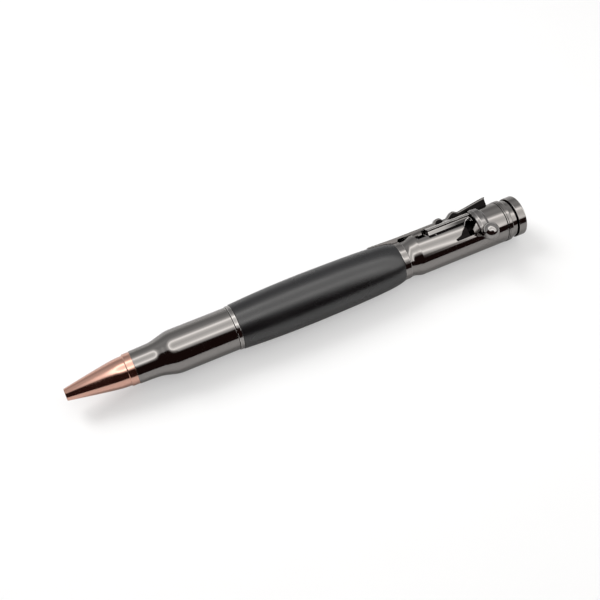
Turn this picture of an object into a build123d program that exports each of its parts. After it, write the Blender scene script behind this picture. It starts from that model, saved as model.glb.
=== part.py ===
from build123d import *
import math
import os

# Bolt-action pen in the form of a cartridge, with a clip in the outline of a rifle.
# Lengths are in millimetres. The pen is drawn along X with its nose tip at zero and its
# centre line on the X axis. A roll is the angle about that line from straight up towards +Y.
# Every piece is set down on the table at the end, in the way that the pen lies.

# The refill sets the size of everything round it
refill_length = 98.1
refill_radius = 2.95
refill_setback = 0.9
refill_gap = 0.2

# Lengths of the outside sections, from the nose tip to the cap end
tip_length = 19.75
casing_length = 29.25
seam_gap = 0.1
ring_length = 1.2
cap_length = 6.5

# Walls and steps that give the outside radii
tip_spigot_wall = 0.85
tip_band_step = 0.66
neck_wall = 0.78
bore_step = 0.15
nose_thread_wall = 1.55
casing_wall = 1.43
ring_step = 0.19
coupler_thread_wall = 0.5
coupler_wall = 0.7
tube_wall = 0.35
barrel_wall = 2.65
bolt_bore_step = 1.85
receiver_wall = 1.2

# Fits and gaps
running_gap = 0.08
thread_gap = 0.05
side_gap = 0.16
rest_gap = 0.05
cut_overrun = 1.0

# Shape of the tip, shares of its length and of its band radius
tip_cone_shares = [(0.0, 0.37), (0.26, 0.57), (0.48, 0.73), (0.70, 0.877)]
tip_waist_shares = [(0.76, 0.908), (0.885, 0.931)]
tip_band_length = 2.2
tip_band_chamfer = 0.15
tip_nose_round = 0.3

# Shape of the casing, from its neck through the shoulder to the straight body
neck_length = 4.75
neck_swell = 0.14
shoulder_length = 7.5
shoulder_middle_share = 0.52
shoulder_middle_rise_share = 0.33
casing_edge = 0.12

# Shape of the barrel, shares of its length and of its largest radius
barrel_profile_shares = [
    (0.0, 0.900),
    (0.09, 0.939),
    (0.24, 0.982),
    (0.40, 1.0),
    (0.56, 0.993),
    (0.72, 0.974),
    (0.86, 0.934),
    (0.925, 0.900),
    (0.97, 0.853),
    (1.0, 0.800),
]

# Shape of the receiver's front end: flange, valley and ramp
flange_length = 1.9
flange_drop = 0.42
valley_drop = 0.64
valley_offset = 3.2
ramp_shoulder_drop = 0.1
ramp_shoulder_offset = 5.5
ramp_end_offset = 6.2

# Shape of the cap: a groove with a sloping front behind a rim, as on a cartridge
cap_step = 0.1
cap_seam_depth = 0.12
cap_seam_width = 0.18
cap_line_offset = 0.55
cap_line_depth = 0.08
cap_line_width = 0.16
cap_plug_length = 3.0
groove_offset = 1.65
groove_slope_length = 0.35
groove_depth = 0.5
rim_drop = 0.18
rim_length = 2.55
rim_chamfer = 0.2

# Bores
nozzle_radius = 1.25
nozzle_length = 7.0
spring_chamber_radius = 2.2
spring_chamber_end = 12.9
tip_spigot_length = 4.4
nose_thread_length = 3.9
front_insert_length = 7.0
rear_insert_length = 10.0
receiver_thread_length = 8.0
receiver_front_wall = 2.2

# Refill, a standard one with a metal tube
refill_ball_radius = 0.5
refill_ball_seat = 0.45
refill_point_front_radius = 0.55
refill_point_radius = 1.15
refill_point_cone = 2.4
refill_point_length = 10.4
refill_front_radius = 1.5
refill_front_length = 5.9
refill_shoulder_radius = 2.1
refill_shoulder_length = 1.0
refill_plug_length = 4.5
refill_plug_step = 0.1
refill_plug_slot_width = 0.9
refill_plug_slot_depth = 2.6
refill_plug_stem = 2.0
refill_wall = 0.25
refill_crimp = 3.0

# Bolt, guided in the receiver's bore, and what it carries
push_rod_reach = 13.3
push_rod_radius = 1.5
push_rod_seat = 1.7
push_pad_radius = 2.3
push_pad_length = 1.9
bolt_travel = 4.2
bolt_turn_degrees = 29.0
bolt_head_offset = 10.3
bolt_head_length = 2.7
bolt_head_chamfer = 0.3
bolt_sleeve_wall = 1.84
bolt_sleeve_length = 15.9
bolt_end_gap = 0.1
nut_length = 1.2
nut_drop = 0.42
nut_flat_share = 0.93
bolt_rear_room = 1.2

# Ejection port and the hooked notch, offsets from the receiver's front, rolls in degrees
port_front_offset = 6.7
port_step_length = 3.6
port_rear_offset = 25.5
port_low_roll = 0.6
port_step_roll = 11.6
port_high_roll = 51.1
lug_offset = 25.9
lug_width = 1.6
lug_low_roll = -5.4
lug_high_roll = 16.6
lug_seat_depth = 0.6
notch_roll = -17.0
notch_knee_roll = -7.5
notch_jaw_roll = -15.5
notch_chin_roll = -26.5
notch_bend_roll = -21.9
notch_toe_roll = -32.4
notch_foot_roll = -36.6
notch_jaw_length = 1.15
notch_chin_length = 2.1
notch_toe_length = 4.1
notch_toe_slant = 0.3
notch_mouth_length = 1.95
notch_corner = 0.25

# Guide rail that fills the port beside the bolt
rail_low_roll = 19.6
rail_high_roll = 49.6
rail_proud = 0.3
rail_ledge_roll = 26.8
rail_face_roll = -29.0
rail_front_offset = 0.7
rail_rear_gap = 0.12
rail_foot_depth = 0.5
rail_arch_offset = 1.6
rail_arch_roll = 15.5
rail_arch_radius = 1.7

# Bolt handle and its ball
arm_high_roll = 49.6
arm_low_roll = -37.4
arm_width = 3.3
arm_lift = 0.14
arm_edge_height = 0.42
arm_crown_height = 0.85
arm_crown_width = 1.5
knob_radius = 2.6
knob_standoff = 3.0
knob_roll = -39.4
knob_stud_radius = 0.7
knob_stud_depth = 0.6
knob_stud_roll = -30.5

# Clip in the outline of a rifle: offsets forward of the receiver's rear, heights over it
clip_roll = 62.6
clip_width = 2.4
clip_edge_round = 0.3
clip_rear_offset = 1.3
clip_tip_offset = 41.3
blade_mid_offset = 38.0
blade_bend_offset = 32.5
blade_bend_share = 0.852
blade_mid_share = 0.902
blade_tip_share = 0.942
blade_bend_height = 0.565
blade_mid_height = 0.37
blade_tip_height = 0.2
magazine_front_offset = 19.35
magazine_length = 2.6
magazine_height = 0.89
guard_front_offset = 15.3
guard_peak_offset = 12.8
guard_rear_offset = 11.1
guard_height = 1.21
guard_valley_depth = 0.15
guard_rear_rise_share = 2.0
guard_front_rise_share = -0.25
wrist_height = 0.58
stock_middle_offset = 6.3
stock_middle_height = 1.16
stock_heel_offset = 1.9
stock_heel_height = 1.84
stock_heel_rise_share = -0.16
stock_wrist_rise_share = -0.09
butt_hollow = 0.35
rivet_radius = 0.55
rivet_gap = 0.1
rivet_head_depth = 0.9
rivet_rear_setback = 0.9
rivet_spacing = 2.2

# Springs, round wire wound about the pen's centre line
bolt_wire = 0.5
bolt_spring_gap = 0.2
bolt_spring_turns = 4
nose_wire = 0.35
nose_spring_radius = 1.85
nose_spring_turns = 7
bend_share = 2.0
washer_thickness = 0.3
washer_bore_step = 0.25

# Radii that follow from the refill, the walls and the gaps
refill_bore_radius = refill_radius + refill_gap
casing_bore_radius = refill_bore_radius + bore_step
tip_spigot_radius = refill_bore_radius + tip_spigot_wall
tip_band_radius = tip_spigot_radius + tip_band_step
neck_radius = tip_spigot_radius + neck_wall
nose_thread_radius = casing_bore_radius + nose_thread_wall
casing_radius = nose_thread_radius + thread_gap + casing_wall
ring_radius = casing_radius + ring_step
coupler_thread_radius = refill_bore_radius + coupler_thread_wall
tube_bore_radius = coupler_thread_radius + thread_gap + coupler_wall
tube_radius = tube_bore_radius + tube_wall
barrel_radius = tube_radius + barrel_wall
receiver_bore_radius = refill_bore_radius + bolt_bore_step
receiver_radius = receiver_bore_radius + receiver_wall
cutter_radius = receiver_radius + cut_overrun
cap_radius = receiver_radius + cap_step
bolt_radius = receiver_bore_radius - running_gap
sleeve_radius = bolt_radius - running_gap / 2
rail_radius = receiver_radius + rail_proud
bolt_core_radius = sleeve_radius - bolt_sleeve_wall - running_gap
bolt_spring_radius = receiver_bore_radius - bolt_spring_gap - bolt_wire / 2
knob_centre_radius = receiver_radius + knob_standoff
arm_underside = receiver_radius + arm_lift
arm_crown_radius = arm_underside + arm_crown_height

# Places that follow from the lengths
refill_front = refill_setback
refill_rear = refill_front + refill_length
refill_neck_end = refill_front + refill_ball_seat + refill_point_length + refill_front_length
refill_body_front = refill_neck_end + refill_shoulder_length
bolt_head_place = refill_rear + push_rod_reach
casing_front = tip_length
casing_rear = casing_front + casing_length
ring_front = casing_rear + seam_gap
barrel_front = ring_front + ring_length
barrel_rear = bolt_head_place - bolt_head_offset
barrel_length = barrel_rear - barrel_front
bolt_bore_front = barrel_rear + receiver_front_wall
sleeve_front = bolt_head_place + bolt_head_length + bolt_end_gap
sleeve_rear = sleeve_front + bolt_sleeve_length
nut_rear = sleeve_rear + bolt_end_gap + nut_length
cap_plug_front = nut_rear + bolt_rear_room
receiver_rear = cap_plug_front + cap_plug_length
overall_length = receiver_rear + cap_length
port_front_place = barrel_rear + port_front_offset
port_step_place = port_front_place + port_step_length
port_rear_place = barrel_rear + port_rear_offset
lug_place = barrel_rear + lug_offset
slot_front = lug_place - bolt_travel - side_gap
slot_rear = lug_place + lug_width + side_gap
gap_degrees = math.degrees(side_gap / receiver_radius)
arm_middle = port_rear_place + arm_width / 2
clip_rear_place = receiver_rear - clip_rear_offset
rivet_rear_place = clip_rear_place - rivet_rear_setback
rivet_places = [rivet_rear_place - rivet_spacing, rivet_rear_place]
rivet_top = receiver_radius + rivet_head_depth
quarter_turn = 90


def turned(points):
    """A solid of revolution about X from a closed outline of places and radii."""
    return revolve(make_face(Polyline(points, close=True)), Axis.X)


def drum(start, end, radius):
    """A cylinder along X."""
    align = (Align.CENTER, Align.CENTER, Align.MIN)
    return Pos(start, 0, 0) * Rot(0, quarter_turn, 0) * Cylinder(radius, end - start, align=align)


def pipe(start, end, outer, inner):
    """A straight tube along X."""
    return drum(start, end, outer) - drum(start - cut_overrun, end + cut_overrun, inner)


def rolled(shape, roll):
    """A shape drawn straight up, turned about X to a roll."""
    return Rot(-roll, 0, 0) * shape


def sector(start, end, inner, outer, low_roll, high_roll):
    """The part of a tube's wall between two rolls."""
    wall = Polyline((start, inner), (end, inner), (end, outer), (start, outer), close=True)
    swung = revolve(make_face(wall), Axis.X, high_roll - low_roll)
    return Rot(quarter_turn - high_roll, 0, 0) * swung


def swing_profile(points, low_roll, high_roll):
    """An outline of places and radii swung about X between two rolls."""
    swung = revolve(make_face(Polyline(points, close=True)), Axis.X, high_roll - low_roll)
    return Rot(quarter_turn - high_roll, 0, 0) * swung


def radial_pin(place, roll, inner, outer, radius):
    """A pin that points away from the centre line at a roll."""
    align = (Align.CENTER, Align.CENTER, Align.MIN)
    return rolled(Pos(place, 0, inner) * Cylinder(radius, outer - inner, align=align), roll)


# Nose

def make_bullet_tip():
    """Copper nose tip: a long taper, a waist and a band, with the bore for refill and spring."""
    cone = [(tip_length * x, tip_band_radius * r) for x, r in tip_cone_shares]
    waist = [(tip_length * x, tip_band_radius * r) for x, r in tip_waist_shares]
    band_front = tip_length - tip_band_length
    spigot_rear = tip_length + tip_spigot_length
    taper = Spline(cone + waist)
    outline = [
        Line((0, 0), cone[0]),
        taper,
        Polyline(
            waist[-1],
            (band_front, tip_band_radius - tip_band_chamfer),
            (band_front + tip_band_chamfer, tip_band_radius),
            (tip_length, tip_band_radius),
            (tip_length, tip_spigot_radius),
            (spigot_rear, tip_spigot_radius),
            (spigot_rear, 0),
            (0, 0),
        ),
    ]
    body = revolve(make_face(outline), Axis.X)
    front_edge = body.edges().filter_by(GeomType.CIRCLE).sort_by(Axis.X)[0]
    body = fillet(front_edge, tip_nose_round)
    bore = turned([
        (-cut_overrun, 0),
        (-cut_overrun, nozzle_radius),
        (nozzle_length, nozzle_radius),
        (nozzle_length, spring_chamber_radius),
        (spring_chamber_end, spring_chamber_radius),
        (spring_chamber_end, refill_bore_radius),
        (spigot_rear + cut_overrun, refill_bore_radius),
        (spigot_rear + cut_overrun, 0),
    ])
    return body - bore


def make_front_casing():
    """Cartridge casing: a neck, a shoulder and a straight body with a threaded socket."""
    neck_end = casing_front + neck_length
    neck_end_radius = neck_radius + neck_swell
    shoulder_end = neck_end + shoulder_length
    middle_x = neck_end + shoulder_length * shoulder_middle_share
    middle_radius = (neck_end_radius + casing_radius) / 2
    middle_way = (1, shoulder_middle_rise_share)
    neck_way = (neck_length, neck_swell)
    lower = Spline(
        (neck_end, neck_end_radius), (middle_x, middle_radius), tangents=[neck_way, middle_way]
    )
    upper = Spline(
        (middle_x, middle_radius), (shoulder_end, casing_radius), tangents=[middle_way, (1, 0)]
    )
    outline = [
        Polyline((casing_front, 0), (casing_front, neck_radius), (neck_end, neck_end_radius)),
        lower,
        upper,
        Polyline(
            (shoulder_end, casing_radius),
            (casing_rear - casing_edge, casing_radius),
            (casing_rear, casing_radius - casing_edge),
            (casing_rear, 0),
            (casing_front, 0),
        ),
    ]
    body = revolve(make_face(outline), Axis.X)
    socket_front = ring_front - nose_thread_length - running_gap
    spigot_rear = tip_length + tip_spigot_length
    body -= drum(casing_front - cut_overrun, spigot_rear, tip_spigot_radius)
    body -= drum(casing_front, casing_rear, casing_bore_radius)
    body -= drum(socket_front, casing_rear + cut_overrun, nose_thread_radius + thread_gap)
    return body


# Barrel

def make_thread_ring():
    """Bright ring between nose and barrel, with the nose's thread and an insert for the tube."""
    edge = casing_edge
    body = turned([
        (ring_front - nose_thread_length, 0),
        (ring_front - nose_thread_length, nose_thread_radius),
        (ring_front, nose_thread_radius),
        (ring_front, ring_radius - edge),
        (ring_front + edge, ring_radius),
        (barrel_front - edge, ring_radius),
        (barrel_front, ring_radius - edge),
        (barrel_front, tube_bore_radius),
        (barrel_front + front_insert_length, tube_bore_radius),
        (barrel_front + front_insert_length, 0),
    ])
    return body - drum(casing_front, barrel_rear, casing_bore_radius)


def make_barrel_sleeve():
    """Swelling barrel, thickest before its middle and rounded in at the rear."""
    points = [(barrel_front + barrel_length * x, barrel_radius * r) for x, r in barrel_profile_shares]
    outline = [
        Line((barrel_front, 0), points[0]),
        Spline(points),
        Polyline(points[-1], (barrel_rear, 0), (barrel_front, 0)),
    ]
    body = revolve(make_face(outline), Axis.X)
    return body - drum(barrel_front - cut_overrun, barrel_rear + cut_overrun, tube_radius)


def make_inner_tube():
    """Brass tube that the barrel is glued to."""
    return pipe(barrel_front, barrel_rear, tube_radius, tube_bore_radius)


def make_rear_coupler():
    """Threaded insert in the rear of the brass tube."""
    bore = coupler_thread_radius + thread_gap
    return pipe(barrel_rear - rear_insert_length, barrel_rear, tube_bore_radius, bore)


# Receiver

def hook_outline():
    """Outline of the hooked notch, laid flat: along the pen and round it."""
    def across(roll):
        return receiver_radius * math.sin(math.radians(roll - notch_roll))

    top = across(lug_high_roll)
    mouth = across(lug_low_roll) - side_gap
    bend = across(notch_bend_roll)
    foot = across(notch_foot_roll)
    front = slot_front
    rear = front + lug_width + 2 * side_gap
    toe = front - notch_toe_length
    return [
        (front, top),
        (front, across(notch_knee_roll)),
        (front - notch_jaw_length, across(notch_jaw_roll)),
        (front - notch_chin_length, across(notch_chin_roll)),
        (toe, across(notch_toe_roll)),
        (toe + notch_toe_slant, foot),
        (rear, foot),
        (rear, bend),
        (rear + notch_mouth_length, mouth),
        (rear + notch_mouth_length, top),
    ]


def make_receiver():
    """Receiver: flange, valley and ramp, then a tube with the port and the hooked notch."""
    flange_radius = receiver_radius - flange_drop
    ramp_end = barrel_rear + ramp_end_offset
    ramp = Spline(
        (barrel_rear + flange_length, flange_radius),
        (barrel_rear + valley_offset, receiver_radius - valley_drop),
        (barrel_rear + ramp_shoulder_offset, receiver_radius - ramp_shoulder_drop),
        (ramp_end, receiver_radius),
        tangents=[(1, 0), (1, 0)],
    )
    outline = [
        Polyline(
            (barrel_rear - receiver_thread_length, 0),
            (barrel_rear - receiver_thread_length, coupler_thread_radius),
            (barrel_rear, coupler_thread_radius),
            (barrel_rear, flange_radius),
            (barrel_rear + flange_length, flange_radius),
        ),
        ramp,
        Polyline(
            (ramp_end, receiver_radius),
            (receiver_rear, receiver_radius),
            (receiver_rear, 0),
            (barrel_rear - receiver_thread_length, 0),
        ),
    ]
    body = revolve(make_face(outline), Axis.X)
    body -= drum(barrel_front, receiver_rear, refill_bore_radius)
    body -= drum(bolt_bore_front, receiver_rear + cut_overrun, receiver_bore_radius)
    inner = refill_bore_radius
    outer = cutter_radius
    body -= sector(port_front_place, port_step_place, inner, outer, port_step_roll, port_high_roll)
    body -= sector(port_step_place, port_rear_place, inner, outer, port_low_roll, port_high_roll)
    passage_low = lug_low_roll - gap_degrees
    passage_high = lug_high_roll + gap_degrees
    body -= sector(slot_front, slot_rear, inner, outer, passage_low, passage_high)
    relief_low = lug_low_roll - bolt_turn_degrees - gap_degrees
    body -= sector(lug_place - side_gap, slot_rear, inner, outer, relief_low, passage_high)
    hook = make_face(Polyline(hook_outline(), close=True))
    hook = fillet(hook.vertices(), notch_corner)
    body -= rolled(extrude(Pos(0, 0, inner) * hook, outer - inner), notch_roll)
    for place in rivet_places:
        body -= radial_pin(place, clip_roll, inner, outer, rivet_radius + rivet_gap)
    return body


def make_end_cap():
    """End cap like a cartridge head: seam, sloping groove and rim, with a plug for the bore."""
    line_front = receiver_rear + cap_line_offset
    line_rear = line_front + cap_line_width
    line_radius = cap_radius - cap_line_depth
    groove_front = receiver_rear + groove_offset
    groove_radius = cap_radius - groove_depth
    rim_front = overall_length - rim_length
    rim_radius = cap_radius - rim_drop
    return turned([
        (cap_plug_front, 0),
        (cap_plug_front, receiver_bore_radius),
        (receiver_rear, receiver_bore_radius),
        (receiver_rear, cap_radius - cap_seam_depth),
        (receiver_rear + cap_seam_width, cap_radius - cap_seam_depth),
        (receiver_rear + cap_seam_width, cap_radius),
        (line_front, cap_radius),
        (line_front, line_radius),
        (line_rear, line_radius),
        (line_rear, cap_radius),
        (groove_front, cap_radius),
        (groove_front + groove_slope_length, groove_radius),
        (rim_front, groove_radius),
        (rim_front, rim_radius - rim_chamfer),
        (rim_front + rim_chamfer, rim_radius),
        (overall_length - rim_chamfer, rim_radius),
        (overall_length, rim_radius - rim_chamfer),
        (overall_length, 0),
    ])


# Bolt and handle

def make_bolt_head():
    """Bolt head that pushes the refill, with the core that carries the turning sleeve."""
    body = turned([
        (bolt_head_place, 0),
        (bolt_head_place, bolt_radius - bolt_head_chamfer),
        (bolt_head_place + bolt_head_chamfer, bolt_radius),
        (bolt_head_place + bolt_head_length, bolt_radius),
        (bolt_head_place + bolt_head_length, bolt_core_radius),
        (nut_rear, bolt_core_radius),
        (nut_rear, 0),
    ])
    seat_rear = bolt_head_place + push_rod_seat
    body -= drum(bolt_head_place - cut_overrun, seat_rear, push_rod_radius)
    foot_front = bolt_head_place + rail_front_offset
    foot_rear = bolt_head_place + bolt_head_length + cut_overrun
    foot_floor = bolt_radius - rail_foot_depth
    body -= sector(foot_front, foot_rear, foot_floor, cutter_radius, rail_low_roll, rail_high_roll)
    return body


def rail_sector(low_roll, high_roll):
    """A bar along the port between two rolls, with a foot that goes into the bolt head."""
    front = bolt_head_place + rail_front_offset
    rear = port_rear_place - rail_rear_gap
    head_rear = bolt_head_place + bolt_head_length
    underside = bolt_radius + running_gap
    return swing_profile(
        [
            (front, bolt_radius - rail_foot_depth),
            (head_rear, bolt_radius - rail_foot_depth),
            (head_rear, underside),
            (rear, underside),
            (rear, rail_radius),
            (front, rail_radius),
        ],
        low_roll,
        high_roll,
    )


def make_guide_rail():
    """Rail in the port that keeps the bolt head from turning, held in the head by its foot. Its
    low side is a sloping ledge below a step, and an arch leaves room for the handle's root."""
    face_turn = math.radians(rail_low_roll - rail_face_roll)
    face_height = (bolt_radius + running_gap) * math.cos(face_turn)
    beyond = Box(overall_length, rail_radius, rail_radius, align=(Align.MIN, Align.CENTER, Align.MIN))
    ledge = rail_sector(rail_low_roll, rail_ledge_roll)
    ledge -= rolled(Pos(0, 0, face_height) * beyond, rail_face_roll)
    body = ledge + rail_sector(rail_ledge_roll, rail_high_roll)
    arch_place = port_rear_place - rail_arch_offset
    return body - radial_pin(arch_place, rail_arch_roll, 0, cutter_radius, rail_arch_radius)


def make_bolt_sleeve():
    """Turning sleeve of the bolt, with the pocket for the handle's root."""
    body = pipe(sleeve_front, sleeve_rear, sleeve_radius, bolt_core_radius + running_gap)
    floor = bolt_radius - lug_seat_depth
    pocket = sector(lug_place, lug_place + lug_width, floor, cutter_radius, lug_low_roll, lug_high_roll)
    return body - pocket


def make_handle_arm(stud):
    """Strap that wraps over the receiver, with the root that reaches the sleeve."""
    front = port_rear_place
    rear = front + arm_width
    edge_radius = arm_underside + arm_edge_height
    strap = swing_profile(
        [
            (front, arm_underside),
            (rear, arm_underside),
            (rear, edge_radius),
            (arm_middle + arm_crown_width / 2, arm_crown_radius),
            (arm_middle - arm_crown_width / 2, arm_crown_radius),
            (front, edge_radius),
        ],
        arm_low_roll,
        arm_high_roll,
    )
    root_floor = bolt_radius - lug_seat_depth
    root_rear = lug_place + lug_width
    root = sector(lug_place, root_rear, root_floor, edge_radius, lug_low_roll, lug_high_roll)
    return strap + root - stud


def make_knob_stud():
    """Short stud that joins the ball to the strap, riveted in the strap's end."""
    outer = knob_centre_radius + knob_stud_depth
    return radial_pin(arm_middle, knob_stud_roll, arm_underside, outer, knob_stud_radius)


def make_handle_knob(stud):
    """Ball of the handle, hollowed to sit on the crown of the strap and drilled for its stud."""
    ball = rolled(Pos(arm_middle, 0, knob_centre_radius) * Sphere(knob_radius), knob_roll)
    return ball - drum(barrel_rear, overall_length, arm_crown_radius) - stud


def make_push_rod():
    """Rod from the bolt head to a pad behind the refill."""
    return turned([
        (refill_rear, 0),
        (refill_rear, push_pad_radius),
        (refill_rear + push_pad_length, push_pad_radius),
        (refill_rear + push_pad_length, push_rod_radius),
        (bolt_head_place + push_rod_seat, push_rod_radius),
        (bolt_head_place + push_rod_seat, 0),
    ])


def make_retaining_nut():
    """Nut on the end of the core that keeps the sleeve on it, with two flats for a key."""
    front = sleeve_rear + bolt_end_gap
    nut_radius = bolt_radius - nut_drop
    body = pipe(front, front + nut_length, nut_radius, bolt_core_radius)
    flat = nut_radius * nut_flat_share
    width = 2 * nut_radius + cut_overrun
    block = Pos(front + nut_length / 2, 0, 0) * Box(width, width, 2 * flat)
    return body & block


# Refill

def make_refill_point():
    """Brass point of the refill with its taper, and the seat for the writing ball."""
    front = refill_front + refill_ball_seat
    rear = front + refill_point_length
    body = turned([
        (front, 0),
        (front, refill_point_front_radius),
        (front + refill_point_cone, refill_point_radius),
        (rear, refill_point_radius),
        (rear, refill_front_radius - refill_wall),
        (rear + refill_crimp, refill_front_radius - refill_wall),
        (rear + refill_crimp, 0),
    ])
    ball = Pos(refill_front + refill_ball_radius, 0, 0) * Sphere(refill_ball_radius)
    return body - ball


def make_writing_ball():
    """Ball that carries the ink to the paper."""
    return Pos(refill_front + refill_ball_radius, 0, 0) * Sphere(refill_ball_radius)


def make_refill_tube():
    """Metal tube of the refill, drawn in at the front to a narrow neck."""
    front = refill_front + refill_ball_seat + refill_point_length
    rear = refill_rear - refill_plug_length
    body = turned([
        (front, 0),
        (front, refill_front_radius),
        (refill_neck_end, refill_front_radius),
        (refill_neck_end, refill_shoulder_radius),
        (refill_body_front, refill_radius),
        (rear, refill_radius),
        (rear, 0),
    ])
    body -= drum(front - cut_overrun, front + refill_crimp, refill_front_radius - refill_wall)
    bore_front = refill_body_front + refill_wall
    body -= drum(front, bore_front, refill_front_radius - refill_wall)
    return body - drum(bore_front, rear + cut_overrun, refill_radius - refill_wall)


def make_refill_plug():
    """Plastic plug in the rear of the refill, with crossed slots that let air in."""
    front = refill_rear - refill_plug_length
    seat = front - refill_plug_stem
    body = turned([
        (seat, 0),
        (seat, refill_radius - refill_wall),
        (front, refill_radius - refill_wall),
        (front, refill_radius - refill_plug_step),
        (refill_rear, refill_radius - refill_plug_step),
        (refill_rear, 0),
    ])
    width = 2 * refill_radius
    depth = refill_plug_slot_depth
    cutter_length = depth + cut_overrun
    centre = refill_rear - depth + cutter_length / 2
    for roll in (0, quarter_turn):
        body -= Pos(centre, 0, 0) * rolled(Box(cutter_length, width, refill_plug_slot_width), roll)
    return body


# Clip

def make_rifle_clip():
    """Pocket clip: a rifle seen from its side, with the underside away from the pen."""
    rear = clip_rear_place
    tip, mid, bend = [receiver_rear - x for x in (clip_tip_offset, blade_mid_offset, blade_bend_offset)]
    low = receiver_radius - rest_gap
    bend_low, mid_low, tip_low = [
        barrel_radius * share for share in (blade_bend_share, blade_mid_share, blade_tip_share)
    ]
    top = bend_low + blade_bend_height
    tip_high = tip_low + blade_tip_height
    magazine_front = receiver_rear - magazine_front_offset
    magazine_rear = magazine_front + magazine_length
    guard_front = receiver_rear - guard_front_offset
    guard_rear = receiver_rear - guard_rear_offset
    valley = top - guard_valley_depth
    wrist = top + wrist_height
    heel_place = receiver_rear - stock_heel_offset
    heel = top + stock_heel_height
    underside = Spline(
        (tip, tip_low), (mid, mid_low), (bend, bend_low), tangents=[(1, 0), (1, 0)]
    )
    topside = Spline(
        (bend, top), (mid, mid_low + blade_mid_height), (tip, tip_high), tangents=[(-1, 0), (-1, 0)]
    )
    magazine = ThreePointArc(
        (magazine_rear, top),
        ((magazine_front + magazine_rear) / 2, top + magazine_height),
        (magazine_front, top),
    )
    guard = Spline(
        (guard_rear, wrist),
        (receiver_rear - guard_peak_offset, top + guard_height),
        (guard_front, valley),
        tangents=[(-1, guard_rear_rise_share), (-1, guard_front_rise_share)],
    )
    stock = Spline(
        (heel_place, heel),
        (receiver_rear - stock_middle_offset, top + stock_middle_height),
        (guard_rear, wrist),
        tangents=[(-1, stock_heel_rise_share), (-1, stock_wrist_rise_share)],
    )
    butt_middle = ((heel_place + rear) / 2 - butt_hollow, (heel + low) / 2)
    outline = [
        underside,
        Polyline((bend, bend_low), (port_front_place, low), (rear, low)),
        ThreePointArc((rear, low), butt_middle, (heel_place, heel)),
        stock,
        guard,
        Polyline((guard_front, valley), (magazine_rear, top)),
        magazine,
        Line((magazine_front, top), (bend, top)),
        topside,
        Line((tip, tip_high), (tip, tip_low)),
    ]
    body = extrude(Plane.XZ * make_face(outline), clip_width / 2, both=True)
    sides = body.faces().filter_by(Axis.Y)
    rounded_edges = [
        edge
        for edge in sides.edges()
        if edge.center().Z > bend_low + blade_bend_height / 2 and edge.center().X > bend
    ]
    body = fillet(rounded_edges, clip_edge_round)
    body -= drum(barrel_rear, overall_length, receiver_radius + rest_gap)
    for place in rivet_places:
        body -= Pos(place, 0, 0) * Cylinder(rivet_radius, 2 * rivet_top)
    return rolled(body, clip_roll)


def make_clip_rivets():
    """Two rivets that hold the clip, just short of the receiver's bore."""
    inner = receiver_bore_radius + rest_gap
    return Compound([radial_pin(x, clip_roll, inner, rivet_top, rivet_radius) for x in rivet_places])


# Springs

def biarc(start, start_way, end, end_way):
    """Two arcs that leave start along one direction and reach end along another."""
    chord = end - start
    turn = 1 - start_way.dot(end_way)
    along = chord.dot(start_way + end_way)
    root = math.sqrt(along * along + 2 * turn * chord.dot(chord))
    reach = (root - along) / (2 * turn)
    middle = (start + start_way * reach + end - end_way * reach) / 2
    middle_way = (end - end_way * reach - start - start_way * reach).normalized()
    first = Edge.make_tangent_arc(start, start_way, middle)
    return [first, Edge.make_tangent_arc(middle, middle_way, end)]


def make_spring(start, end, radius, wire, turns):
    """Wire wound about X in quarter turns, with straight ends that stand on their seats."""
    quarters = 4 * turns
    lead_in = bend_share * wire
    lead_quarters = lead_in / radius / (math.pi / 2)
    coil_start = start + wire + lead_in
    coil_length = end - start - 2 * (wire + lead_in)
    climb = coil_length / (2 * math.pi * turns)
    axial = Vector(1, 0, 0)

    def on_coil(quarter):
        angle = quarter * math.pi / 2
        x = coil_start + climb * angle
        return Vector(x, radius * math.cos(angle), radius * math.sin(angle))

    def way(quarter):
        angle = quarter * math.pi / 2
        return Vector(climb, -radius * math.sin(angle), radius * math.cos(angle)).normalized()

    def on_end(x, quarter):
        angle = quarter * math.pi / 2
        return Vector(x, radius * math.cos(angle), radius * math.sin(angle))

    first_foot = on_end(start, -lead_quarters)
    first_top = on_end(start + wire, -lead_quarters)
    last_top = on_end(end - wire, quarters + lead_quarters)
    last_foot = on_end(end, quarters + lead_quarters)
    path = [Edge.make_line(first_foot, first_top)]
    path += biarc(first_top, axial, on_coil(0), way(0))
    for quarter in range(quarters):
        path += biarc(on_coil(quarter), way(quarter), on_coil(quarter + 1), way(quarter + 1))
    path += biarc(on_coil(quarters), way(quarters), last_top, axial)
    path.append(Edge.make_line(last_top, last_foot))
    section = Plane(origin=first_foot, z_dir=axial) * Circle(wire / 2)
    return sweep(section, path=Wire(path)), Wire(path)


def least_gap(wire_path, wire, turns):
    """Least gap between the wire and itself, measured on points along its middle."""
    samples_a_turn = 24
    count = samples_a_turn * (turns + 1)
    points = [wire_path @ (index / count) for index in range(count + 1)]
    skip = samples_a_turn // 2
    nearest = min(
        (points[a] - points[b]).length
        for a in range(count + 1)
        for b in range(a + skip, count + 1)
    )
    return nearest - wire


def make_spring_washer():
    """Washer between the receiver's front wall and the bolt spring."""
    bore = refill_bore_radius + washer_bore_step
    return pipe(bolt_bore_front, bolt_bore_front + washer_thickness, bolt_radius, bore)


# Assembly

knob_stud = make_knob_stud()
bolt_spring_front = bolt_bore_front + washer_thickness
bolt_spring, bolt_spring_path = make_spring(
    bolt_spring_front, bolt_head_place, bolt_spring_radius, bolt_wire, bolt_spring_turns
)
nib_spring, nib_spring_path = make_spring(
    nozzle_length, refill_neck_end, nose_spring_radius, nose_wire, nose_spring_turns
)

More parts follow.
